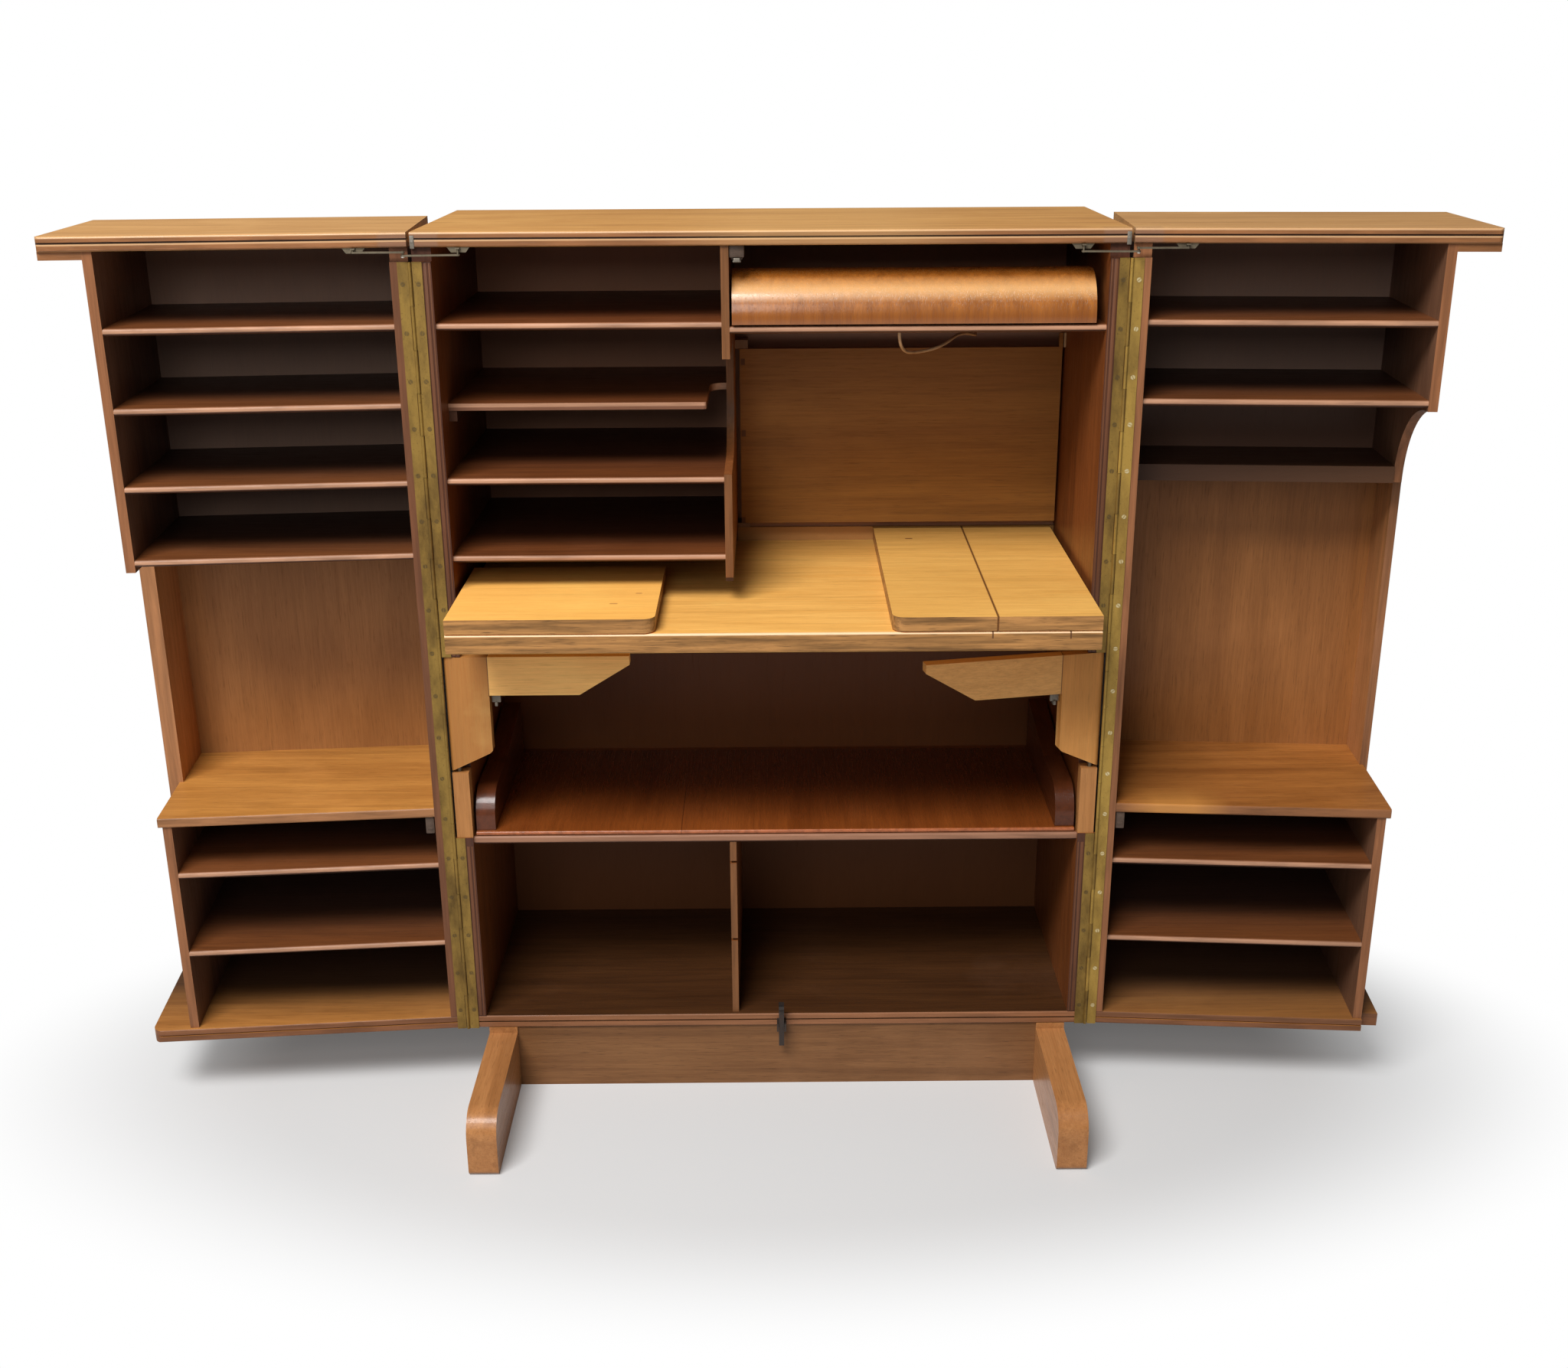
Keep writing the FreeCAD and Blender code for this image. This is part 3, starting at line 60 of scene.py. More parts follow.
class Nodes:
    """A material's node tree, with short calls for the nodes that the finishes share."""

    def __init__(self, name):
        self.material = bpy.data.materials.new(name)
        self.material.use_nodes = True
        self.tree = self.material.node_tree
        self.shader = self.tree.nodes["Principled BSDF"]
        self.coords = self.tree.nodes.new("ShaderNodeTexCoord")

    def add(self, kind, **values):
        """New node with some of its settings."""
        node = self.tree.nodes.new(kind)
        for key, value in values.items():
            setattr(node, key, value)
        return node

    def link(self, out, into):
        """Join an output to an input."""
        self.tree.links.new(out, into)

    def feed(self, slot, value):
        """Give an input a number, a colour or another node's output."""
        if isinstance(value, (int, float)):
            slot.default_value = value
        elif isinstance(value, tuple):
            slot.default_value = (*value, 1)
        else:
            self.link(value, slot)

    def stretched(self, stretch, turn=0):
        """Object coordinates, scaled along each axis."""
        node = self.add("ShaderNodeMapping")
        node.inputs["Scale"].default_value = stretch
        node.inputs["Rotation"].default_value = (0, 0, turn)
        self.link(self.coords.outputs["Object"], node.inputs["Vector"])
        return node.outputs["Vector"]

    def noise(self, vector, scale, detail, roughness, distortion=0):
        """Noise texture as a value."""
        node = self.add("ShaderNodeTexNoise")
        for key, value in (("Scale", scale), ("Detail", detail), ("Roughness", roughness),
                           ("Distortion", distortion)):
            node.inputs[key].default_value = value
        self.link(vector, node.inputs["Vector"])
        return node.outputs["Fac"]

    def span(self, value, low, high, to_low=0, to_high=1, curve="LINEAR"):
        """Map a value from one range to another, held inside the second."""
        node = self.add("ShaderNodeMapRange", interpolation_type=curve)
        for key, number in (("From Min", low), ("From Max", high), ("To Min", to_low), ("To Max", to_high)):
            node.inputs[key].default_value = number
        self.link(value, node.inputs["Value"])
        return node.outputs["Result"]

    def math(self, operation, a, b=0.0):
        """Sum of two values, or another operation on them."""
        node = self.add("ShaderNodeMath", operation=operation)
        for slot, value in zip(node.inputs, (a, b)):
            self.feed(slot, value)
        return node.outputs[0]

    def times(self, a, b):
        """Product of two values."""
        return self.math("MULTIPLY", a, b)

    def mix(self, share, a, b):
        """Blend two colours, each a value or a socket."""
        node = self.add("ShaderNodeMix", data_type="RGBA", blend_type="MIX")
        for index, value in zip(COLOUR_IN, (share, a, b)):
            self.feed(node.inputs[index], value)
        return node.outputs[COLOUR_OUT]

    def swap(self, share, a, b):
        """Blend two sets of coordinates."""
        node = self.add("ShaderNodeMix", data_type="VECTOR")
        for index, value in zip(VECTOR_IN, (share, a, b)):
            self.feed(node.inputs[index], value)
        return node.outputs[VECTOR_OUT]

    def facing(self, axis, low, high):
        """How far a face turns toward an axis of the object itself, 0 to 1."""
        node = self.add("ShaderNodeSeparateXYZ")
        self.link(self.coords.outputs["Normal"], node.inputs[0])
        return self.span(node.outputs[axis], low, high)

    def patch(self, low, high, rim):
        """1 inside a box given by two corners, fading out over a soft rim."""
        node = self.add("ShaderNodeSeparateXYZ")
        self.link(self.coords.outputs["Object"], node.inputs[0])
        share = 1.0
        for axis in range(3):
            middle = (low[axis] + high[axis]) / 2
            half = (high[axis] - low[axis]) / 2
            off = self.math("ABSOLUTE", self.math("SUBTRACT", node.outputs[axis], middle))
            share = self.times(self.span(off, half + rim, half), share)
        return share

    def bump(self, height, strength, distance):
        """Fine relief on the surface."""
        node = self.add("ShaderNodeBump")
        node.inputs["Strength"].default_value = strength
        node.inputs["Distance"].default_value = distance
        self.link(height, node.inputs["Height"])
        self.link(node.outputs["Normal"], self.shader.inputs["Normal"])


# ---------------------------------------------------------------- wood, metal and smooth finishes

# Scales of the patterns in wood: a larger number makes a finer pattern.
FIGURE_SCALE = 11
STRIPE_SCALE = 110
LINE_SCALE = 46
FIBRE_SCALE = 420
PORE_SCALE = 760
WEAR_SCALE = 5.5

GRAIN = {"X": (0.05, 1, 1), "Y": (1, 0.05, 1), "Z": (1, 1, 0.05)}
# How a pattern is drawn out along the grain: a smaller number draws it out more.
BROAD = 3
FINE = 1
HAIR = 0.5

# How far a face turns to the front, or down, where that colour starts and where it is full.
AHEAD = (-0.25, -0.8)
UNDERSIDE = (-0.1, -0.5)

POST_RIM = 0.0003
COAT_ROUGHNESS = 0.16


def darker(colour, share):
    """A share of a colour's brightness."""
    return tuple(value * share for value in colour)


def rubbed(colour):
    """A colour lightened by wear."""
    return tuple(min(1, value * 1.3 + 0.02) for value in colour)


def along(grain, squeeze):
    """Scale that draws a pattern out along the grain, by more or less."""
    return tuple(value if value == 1 else value * squeeze for value in GRAIN[grain])


class Wood(Nodes):
    """Nodes of one piece of wood: figure, stripes, dark lines, fibre, open pores and wear."""

    def __init__(self, name, grain, turn, shift, post):
        super().__init__(name)
        self.post = post
        self.joined = self.patch(post[0], post[1], POST_RIM) if post else None
        broad, fine, hair = (self.laid(grain, squeeze, turn) for squeeze in (BROAD, FINE, HAIR))
        self.bands = self.noise(broad, FIGURE_SCALE + shift, detail=4, roughness=0.55, distortion=1.2)
        self.stripe = self.noise(fine, STRIPE_SCALE + shift, detail=5, roughness=0.65, distortion=0.4)
        lines = self.noise(fine, LINE_SCALE + shift * 3, detail=3, roughness=0.5, distortion=0.8)
        self.line = self.span(lines, 0.56, 0.66)
        self.fibre = self.noise(hair, FIBRE_SCALE, detail=5, roughness=0.7)
        self.pore = self.span(self.noise(fine, PORE_SCALE, detail=2, roughness=0.6), 0.58, 0.72)
        self.wear = self.noise(self.stretched(EVEN), WEAR_SCALE, detail=5, roughness=0.6)

    def laid(self, grain, squeeze, turn):
        """Coordinates along the grain, which is upright in a joined post."""
        flat = self.stretched(along(grain, squeeze), turn)
        if not self.post:
            return flat
        return self.swap(self.joined, flat, self.stretched(along("Z", squeeze)))

    def body(self, light, dark, figure, streak, pores):
        """Colour of the plain face. figure is the share of the broad bands, and stripes have the rest."""
        tone = self.math("ADD", self.times(self.span(self.bands, 0.33, 0.67), figure),
                         self.times(self.span(self.stripe, 0.3, 0.7), 1 - figure))
        colour = self.mix(tone, dark, light)
        if self.post:
            post_light, post_dark = self.post[2:]
            colour = self.mix(self.joined, colour, self.mix(tone, post_dark, post_light))
        colour = self.mix(self.times(self.line, streak), colour, darker(dark, 0.6))
        colour = self.mix(self.span(self.fibre, 0.35, 0.75, 0.0, 0.4), colour, darker(dark, 0.5))
        colour = self.mix(self.times(self.pore, pores), colour, darker(dark, 0.3))
        return self.mix(self.span(self.wear, 0.55, 0.8, 0.0, 0.25), colour, rubbed(light))

    def front(self, colour, lip, under):
        """Colour of the faces that look to the front, and painted shade on the lower half of a rounded nose.
        """
        cover = self.times(self.span(self.stripe, 0.35, 0.6), self.span(self.wear, 0.3, 0.6, 0.6, 1))
        face = self.mix(cover, darker(lip, 0.6), lip)
        # under is painted shade on the downward half of a rounded nose.
        if under:
            face = self.mix(self.facing("Z", *UNDERSIDE), face, under)
        return self.mix(self.facing("Y", *AHEAD), colour, face)

    def edges(self, colour, edge):
        """Colour of every upright face, striped and with open pores."""
        tilt = self.math("ABSOLUTE", self.math("SUBTRACT", self.facing("Z", -1, 1), 0.5))
        face = self.mix(self.span(self.stripe, 0.35, 0.62), darker(edge, 0.35), edge)
        face = self.mix(self.times(self.pore, 0.8), face, darker(edge, 0.2))
        return self.mix(self.span(tilt, 0.45, 0.25), colour, face)

    def marked(self, colour, marks, inner):
        """Colour with its marks. Inner marks show only on faces that look to the front."""
        ahead = self.facing("Y", *AHEAD) if inner else None
        for low, high, tint, share, rim in marks:
            cover = self.times(self.patch(low, high, rim), share)
            if inner:
                cover = self.times(cover, ahead)
            colour = self.mix(cover, colour, tint)
        return colour

    def polish(self, gloss, coat, sheen):
        """Gloss and fine relief, which follow the fibre and the pores."""
        self.shader.inputs["Specular IOR Level"].default_value = sheen
        self.shader.inputs["Coat Weight"].default_value = coat
        self.shader.inputs["Coat Roughness"].default_value = COAT_ROUGHNESS
        rough = self.math("ADD", self.span(self.fibre, 0.3, 0.7, *gloss), self.times(self.pore, 0.15))
        self.link(rough, self.shader.inputs["Roughness"])
        self.bump(self.math("SUBTRACT", self.times(self.fibre, 0.4), self.pore), 0.35, 0.0004)


def wood(name, light, dark, grain="X", figure=0.5, streak=0.3, pores=0.35, gloss=(0.34, 0.5), coat=0.0,
         sheen=0.22, lip=None, under=None, edge=None, marks=(), inner=False, turn=0.0, shift=0.0, post=None):
    """Wood with its colours, its grain and its wear.

    lip colours the faces that look to the front, under paints shade on the lower half of a rounded nose, and
    edge colours every upright face. A post is a joined board with upright grain: its two corners and its own
    light and dark colours. shift changes the pattern, and turn turns it with a piece that rests turned."""
    n = Wood(name, grain, turn, shift, post)
    colour = n.body(light, dark, figure, streak, pores)
    if lip:
        colour = n.front(colour, lip, under)
    if edge:
        colour = n.edges(colour, edge)
    n.link(n.marked(colour, marks, inner), n.shader.inputs["Base Color"])
    n.polish(gloss, coat, sheen)
    return n.material


def metal(name, colour, stain, rough, metallic, stain_share=0.5):
    """Metal with stains, fine scratches and uneven polish."""
    n = Nodes(name)
    patches = n.noise(n.stretched((1, 1, 0.4)), 35, detail=5, roughness=0.65)
    specks = n.noise(n.stretched(EVEN), 420, detail=3, roughness=0.6)
    scratches = n.noise(n.stretched((1, 1, 0.05)), 900, detail=2, roughness=0.5)
    tone = n.mix(n.span(patches, 0.38, 0.68, 0.0, stain_share), colour, stain)
    tone = n.mix(n.span(specks, 0.6, 0.75, 0.0, 0.6), tone, darker(stain, 0.4))
    n.link(tone, n.shader.inputs["Base Color"])
    n.shader.inputs["Metallic"].default_value = metallic
    n.link(n.span(patches, 0.3, 0.7, rough, rough + 0.22), n.shader.inputs["Roughness"])
    n.bump(n.math("ADD", scratches, n.times(specks, 0.6)), 0.2, 0.0002)
    return n.material


def smooth_finish(name, colour, deep, rough):
    """Glass or plastic with a faint clouding and dust."""
    n = Nodes(name)
    cloud = n.noise(n.stretched(EVEN), 60, detail=4, roughness=0.6)
    dust = n.noise(n.stretched(EVEN), 700, detail=2, roughness=0.5)
    n.link(n.mix(n.span(cloud, 0.35, 0.65), deep, colour), n.shader.inputs["Base Color"])
    n.link(n.span(dust, 0.3, 0.7, rough, rough + 0.15), n.shader.inputs["Roughness"])
    n.bump(dust, 0.15, 0.0001)
    return n.material


# ---------------------------------------------------------------- marks of wear and joinery, and painted light and shade

# FAR is beyond every face of the desk. RIGHT_DOOR and LIP_DEPTH are spans in x and in y.
FAR = 3.0
ALL = (-FAR, FAR)
RIGHT_DOOR = (0.44, 1.2)
LIP_DEPTH = (-0.2, -0.045)


def mark(tint, share, rim, x=ALL, y=ALL, z=ALL):
    """Patch of another colour between limits on each axis, with its cover and its soft rim."""
    low, high = zip(x, y, z)
    return low, high, tint, share, rim


def about(middle, half):
    """Limits on both sides of a place."""
    return middle - half, middle + half


def joint_line(x):
    """Thin dark line where a bracket's arm meets its post."""
    return mark((0.12, 0.05, 0.02), 0.85, 0.0003, x=about(x, 0.0004), z=(0.601, FAR))


def lip_ends():
    """Darker ends of the front lips, beside each hinge."""
    return tuple(mark((0.22, 0.115, 0.07), 0.6, 0.004, x=about(sign * HINGE_SPAN, 0.034), y=LIP_DEPTH,
                      z=(1.17, 1.1975)) for sign in SIDES.values())


def worn_edges_and_highlights():
    """Rubbed upper edges of the two front lips, lightened also by a painted highlight."""
    return tuple(mark((0.80, 0.50, 0.26), 0.5, 0.0008, y=LIP_DEPTH, z=about(height, 0.0007))
                 for height in (1.1986, 1.1900))


def groove_shade():
    """Painted shade in the groove between the two front lips."""
    return mark((0.035, 0.013, 0.007), 0.9, 0.0005, y=LIP_DEPTH, z=(1.1911, 1.1929))


def top_marks():
    """Marks that the three top boards share: darker lip ends, rubbed edges with painted highlights, and
    painted shade in the groove.
    """
    return (*lip_ends(), *worn_edges_and_highlights(), groove_shade())


def sunk_screw(y, z):
    """Dark plugged screw hole in a side board."""
    return mark((0.05, 0.024, 0.012), 0.9, 0.0012, y=about(y, 0.0022), z=about(z, 0.0022))


def painted_rear_shade(start, tint, share):
    """Painted shade over the rear of a shelf, from a distance behind the front onward."""
    return mark(tint, share, 0.11, y=(start, FAR))


def leaf_knot(x, y, share):
    """Small knot in the top of the left leaf."""
    return mark((0.42, 0.17, 0.05), share, 0.002, x=x, y=y, z=(0.74, 0.75))


def desk_notch(x, low):
    """Small dark notch in the desktop's front edge."""
    return mark((0.10, 0.04, 0.015), 0.9, 0.0005, x=x, y=(-0.2, -0.18), z=(low, 0.73))


def panel_nail(z):
    """Nail hole near the left edge of the service panel."""
    return mark((0.09, 0.035, 0.014), 0.85, 0.001, x=(-0.044, -0.039), y=(0.2, 0.25), z=(z, z + 0.008))


# ---------------------------------------------------------------- finishes of the cabinet

TOP_LIP = (0.29, 0.118, 0.042)
# Colours of a shelf's rounded nose: its lipping with a painted highlight, and painted shade on its
# underside.
NOSE = (0.47, 0.244, 0.143)
NOSE_UNDERSIDE_SHADE = (0.05, 0.018, 0.01)
WRITING_LEVEL = 0.725
LETTER_UNDERSIDE = 0.9738


def carcass_finishes():
    """Boards of the cabinet's case."""
    return {
        "top": wood("top_veneer", (0.84, 0.44, 0.125), (0.54, 0.235, 0.055), figure=0.4, coat=0.12,
                    sheen=0.3, lip=TOP_LIP,
                    marks=(*top_marks(),
                           # Painted highlight: a broad pale sheen on the top, right of its middle.
                           mark((0.95, 0.60, 0.24), 0.16, 0.12, x=(-0.02, 0.15), z=(1.1992, 1.21)))),
        "floor": wood("floor_veneer", (0.085, 0.032, 0.01), (0.042, 0.015, 0.005),
                      lip=(0.30, 0.125, 0.055)),
        "side": wood("side_veneer", (0.26, 0.078, 0.018), (0.13, 0.036, 0.009), "Z", coat=0.05,
                     lip=(0.085, 0.03, 0.016)),
        "back": wood("back_veneer", (0.34, 0.135, 0.04), (0.20, 0.072, 0.018), "Z", figure=0.6, inner=True,
                     # Inner faces: paler above the writing level, painted light; darker below it, painted
                     # shade under the desktop; a fainter painted shade below the lamp shelf.
                     marks=(mark((0.72, 0.37, 0.23), 0.8, 0.001, z=(WRITING_LEVEL, FAR)),
                            mark((0.115, 0.036, 0.010), 0.85, 0.001, z=(-FAR, WRITING_LEVEL)),
                            mark((0.20, 0.075, 0.03), 0.35, 0.06, z=(-FAR, 1.08)))),
        "bead": wood("bead_veneer", (0.17, 0.066, 0.03), (0.10, 0.038, 0.017), "Z"),
    }


def shelf_finishes():
    """Shelves and dividers inside the cabinet. The shelves' noses carry a painted highlight with painted
    shade under it, and their rears painted shade.
    """
    return {
        "shelf": wood("shelf_veneer", (0.19, 0.058, 0.016), (0.10, 0.028, 0.008), lip=NOSE,
                      under=NOSE_UNDERSIDE_SHADE, marks=(painted_rear_shade(0.08, (0.045, 0.015, 0.008), 0.75),)),
        "letter": wood("letter_shelf_veneer", (0.18, 0.055, 0.016), (0.10, 0.028, 0.008), lip=NOSE,
                       under=NOSE_UNDERSIDE_SHADE,
                       # Painted shade over the lower part of the letter shelf and the lower edge of its
                       # nose.
                       marks=(mark((0.07, 0.026, 0.012), 1.0, 0.0004, z=(0.95, LETTER_UNDERSIDE)),
                              mark((0.13, 0.05, 0.025), 0.85, 0.001, y=(-FAR, -0.0155),
                                   z=(LETTER_UNDERSIDE, 0.9778)))),
        "middle": wood("middle_shelf_veneer", (0.20, 0.062, 0.018), (0.11, 0.032, 0.009),
                       # Its nose: lipping with a dimmer painted highlight, and painted shade under it.
                       lip=(0.32, 0.155, 0.09), under=NOSE_UNDERSIDE_SHADE),
        "divider": wood("divider_veneer", (0.30, 0.10, 0.028), (0.17, 0.052, 0.014), "Z",
                        lip=(0.21, 0.085, 0.03),
                        marks=(mark((0.03, 0.012, 0.006), 0.9, 0.001, x=(-0.064, -0.05), y=(-0.06, 0.3),
                                    z=(0.755, 0.7615)),)),
    }


def base_finishes():
    """Oak of the feet and of the stretchers between them."""
    return {
        "base": wood("base_oak", (0.50, 0.225, 0.08), (0.32, 0.125, 0.038), "Y", figure=0.4, pores=0.4,
                     gloss=(0.26, 0.4), coat=0.15),
        "stretcher": wood("stretcher_oak", (0.26, 0.12, 0.046), (0.16, 0.066, 0.024), figure=0.4,
                          pores=0.45),
    }


# ---------------------------------------------------------------- finishes of the doors

# Tint of the painted shade in the doors' compartments.
COMPARTMENT_SHADE = (0.36, 0.25, 0.205)
BEHIND_UPPER = 1.19
BEHIND_LOWER = (0.11, 0.426)


def shade_behind_shelves(low, high, tint, share):
    """Painted shade on a panel behind shelves."""
    return mark(tint, share, 0.012, z=(low, high))


def door_finishes():
    """Boards that the doors have in common, or nearly so."""
    return {
        "door_top": wood("door_top_veneer", (0.80, 0.44, 0.16), (0.54, 0.26, 0.08), figure=0.4, coat=0.1,
                         sheen=0.3, lip=TOP_LIP, marks=top_marks()),
        "door_floor": wood("door_floor_veneer", (0.54, 0.235, 0.06), (0.33, 0.125, 0.028),
                           lip=(0.24, 0.095, 0.04),
                           # Painted shade over the rear of the door floors.
                           marks=(painted_rear_shade(0.035, (0.045, 0.023, 0.014), 0.9),
                                  mark((0.10, 0.045, 0.022), 0.4, 0.001, x=RIGHT_DOOR, z=(0.11, 0.13)))),
        # Door shelves: painted highlight on the nose, painted shade under it and over the rear.
        "door_shelf": wood("door_shelf_veneer", (0.20, 0.066, 0.02), (0.11, 0.034, 0.01), lip=NOSE,
                           under=NOSE_UNDERSIDE_SHADE,
                           marks=(mark((0.26, 0.11, 0.042), 0.88, 0.0004, x=RIGHT_DOOR, z=(0.85, 0.8848)),
                                  painted_rear_shade(0.05, (0.035, 0.017, 0.012), 0.85))),
        "wall": wood("door_wall_veneer", (0.22, 0.105, 0.055), (0.13, 0.06, 0.034), "Z",
                     lip=(0.30, 0.12, 0.05)),
        "hinge_wall_left": wood("left_hinge_wall_veneer", (0.20, 0.09, 0.045), (0.12, 0.052, 0.028), "Z",
                                lip=(0.17, 0.066, 0.03)),
        # The left door's side board is a lighter copy of the side-board wood, painted light where the lamps
        # leave it in shade.
        "board_left_lit": wood("left_door_side_lit_veneer", (0.66, 0.30, 0.11), (0.44, 0.185, 0.062), "Z",
                           lip=(0.40, 0.175, 0.072), marks=(sunk_screw(-0.004, 0.551),)),
        "board": wood("door_side_veneer", (0.56, 0.245, 0.09), (0.36, 0.15, 0.052), "Z",
                      lip=(0.30, 0.125, 0.052),
                      marks=(sunk_screw(0.026, 0.750), sunk_screw(0.026, 0.623))),
    }


def counter_finishes():
    """Counters, the right one darker, with a paler spot near its front."""
    return {
        "counter_left": wood("left_counter_veneer", (0.62, 0.275, 0.062), (0.36, 0.135, 0.026),
                             figure=0.6, coat=0.05, lip=(0.34, 0.15, 0.06)),
        "counter_right": wood("right_counter_veneer", (0.46, 0.175, 0.038), (0.22, 0.07, 0.014),
                              figure=0.7, coat=0.1, lip=(0.26, 0.105, 0.04),
                              marks=(mark((0.66, 0.29, 0.065), 0.55, 0.05, x=(0.52, 0.57),
                                          y=(-0.085, -0.055), z=(0.4, 0.5)),)),
    }


def panel_finish(side, light, dark, marks):
    """Panel of one door, with painted shade behind its shelves."""
    return {f"panel_{side}": wood(f"{side}_panel_veneer", light, dark, "Z", figure=0.75, streak=0.14,
                                  coat=0.04, marks=marks, inner=True)}


def panel_finishes():
    """Door panels. The right door's lowest upper compartment has a darker painted shade still."""
    lower = shade_behind_shelves(*BEHIND_LOWER, COMPARTMENT_SHADE, 0.7)
    left = (shade_behind_shelves(0.785, BEHIND_UPPER, COMPARTMENT_SHADE, 0.72), lower)
    right = (shade_behind_shelves(0.862, BEHIND_UPPER, COMPARTMENT_SHADE, 0.72), lower,
             shade_behind_shelves(0.862, 0.96, (0.14, 0.06, 0.032), 0.75))
    return {**panel_finish("left", (0.45, 0.195, 0.062), (0.33, 0.135, 0.04), left),
            **panel_finish("right", (0.345, 0.135, 0.038), (0.25, 0.092, 0.024), right)}


# ---------------------------------------------------------------- finishes of the writing place

END_GRAIN = (0.46, 0.22, 0.07)
LEAF_JOINT = 0.277
ARM_GLOSS = (0.42, 0.58)
TRAY_HEIGHTS = (0.3, 0.5)


def desktop_finishes():
    """Pale desktop and leaves, with darker, open-grained edges. The left leaf is a lighter copy of the leaf
    wood: painted light.
    """
    return {
        "desk": wood("desk_veneer", (1.0, 0.555, 0.15), (0.78, 0.375, 0.08), streak=0.2, pores=0.3,
                     edge=END_GRAIN,
                     # Pale line along the desktop's rounded front edge: rubbed wear and a painted highlight.
                     marks=(mark((0.86, 0.62, 0.40), 0.75, 0.0008, y=(-0.2, -0.183), z=(0.7255, 0.7285)),
                            desk_notch((0.2702, 0.2718), 0.719),
                            desk_notch((0.3670, 0.3686), 0.718))),
        # Lighter copy of the leaf wood, painted light over the shade that falls on the left leaf.
        "leaf_left_lit": wood("left_leaf_lit_veneer", (1.0, 0.53, 0.13), (0.93, 0.455, 0.098), streak=0.18,
                          pores=0.25, edge=END_GRAIN, shift=0.7,
                          marks=(leaf_knot((-0.207, -0.199), (-0.1225, -0.120), 0.7),
                                 leaf_knot((-0.177, -0.171), (-0.078, -0.075), 0.6))),
        "leaf_right": wood("right_leaf_veneer", (0.90, 0.50, 0.13), (0.70, 0.345, 0.075), streak=0.18,
                           pores=0.25, edge=END_GRAIN, shift=1.3,
                           marks=(mark((0.20, 0.07, 0.02), 0.85, 0.002, x=(0.1905, 0.1985),
                                       y=(0.184, 0.1875), z=(0.74, 0.75)),
                                  mark((0.20, 0.075, 0.02), 0.85, 0.0006, x=about(LEAF_JOINT, 0.0012),
                                       z=(0.72, 0.75)))),
    }


def bracket_finishes():
    """Brackets: a pale arm along the front, and a darker post with upright grain."""
    return {
        "bracket_left": wood("left_bracket_beech", (0.96, 0.54, 0.175), (0.76, 0.39, 0.11), pores=0.2,
                             gloss=ARM_GLOSS, marks=(joint_line(-0.3792),),
                             post=((-0.45, -0.1, 0.48), (-0.379, 0, 0.67),
                                   (0.40, 0.165, 0.042), (0.31, 0.12, 0.029))),
        "bracket_right": wood("right_bracket_beech", (0.80, 0.42, 0.14), (0.60, 0.29, 0.085), pores=0.2,
                              gloss=ARM_GLOSS, turn=BRACKET_TURNS["right"], marks=(joint_line(0.3800),),
                              post=((0.3798, -0.1, 0.48), (0.45, 0, 0.67),
                                    (0.66, 0.29, 0.075), (0.5, 0.2, 0.045))),
    }


def service_finish():
    """Pale service panel, with small holes near its left edge."""
    return {"pale": wood("pale_panel_veneer", (0.36, 0.155, 0.032), (0.23, 0.088, 0.018), figure=0.6,
                         pores=0.25, gloss=(0.38, 0.55),
                         marks=(mark((0.08, 0.03, 0.012), 0.8, 0.001, x=(-0.047, -0.041), y=(0.2, 0.25),
                                     z=(0.76, 0.768)), panel_nail(0.990), panel_nail(0.888)))}


def tray_finishes():
    """Dark polished tray, with one joint line and painted shade over its rear, and its rails."""
    return {
        "tray": wood("tray_veneer", (0.25, 0.066, 0.012), (0.165, 0.04, 0.007), "Y", figure=0.75,
                     gloss=(0.22, 0.36), coat=0.2, lip=(0.40, 0.12, 0.045),
                     marks=(mark((0.06, 0.014, 0.004), 0.7, 0.0005, x=(-0.1296, -0.1288), z=TRAY_HEIGHTS),
                            # Painted shade over the rear of the tray.
                            mark((0.045, 0.009, 0.003), 0.75, 0.13, y=(0.10, FAR), z=TRAY_HEIGHTS))),
        "rail": wood("rail_mahogany", (0.12, 0.03, 0.009), (0.055, 0.014, 0.004), "Y", gloss=(0.25, 0.4),
                     coat=0.3),
    }


def hood_finish():
    """Polished lamp hood, with a painted highlight across it and painted shade along its lower edge."""
    return {"hood": wood("hood_veneer", (0.42, 0.142, 0.02), (0.21, 0.062, 0.008), "Z", figure=0.12,
                         pores=0.5, gloss=(0.22, 0.32), coat=0.7, sheen=0.5,
                         marks=(mark((1.0, 0.60, 0.25), 0.42, 0.013, z=(1.1255, 1.129)),
                                mark((0.20, 0.055, 0.008), 0.6, 0.014, y=(-FAR, -0.03),
                                     z=(1.08, 1.096))))}


def small_wood_finishes():
    """Battens, runners, the service panel's fittings and the small cleats."""
    return {
        "batten": wood("batten_beech", (0.48, 0.215, 0.07), (0.35, 0.145, 0.042), "Z", pores=0.2),
        "runner": wood("runner_beech", (0.50, 0.25, 0.08), (0.36, 0.16, 0.045), "Y", pores=0.2,
                       marks=(mark(END_GRAIN, 0.8, 0.001, y=(0.24, FAR), z=(0.703, FAR)),)),
        "fitting": wood("fitting_beech", (0.62, 0.44, 0.27), (0.46, 0.31, 0.18), "Z", pores=0.2,
                        marks=(mark((0.16, 0.07, 0.03), 0.85, 0.001, x=(-FAR, 0.3), z=(0.7, FAR)),)),
        "cleat": wood("cleat_walnut", (0.11, 0.072, 0.052), (0.07, 0.045, 0.032), "Y", pores=0.2),
    }


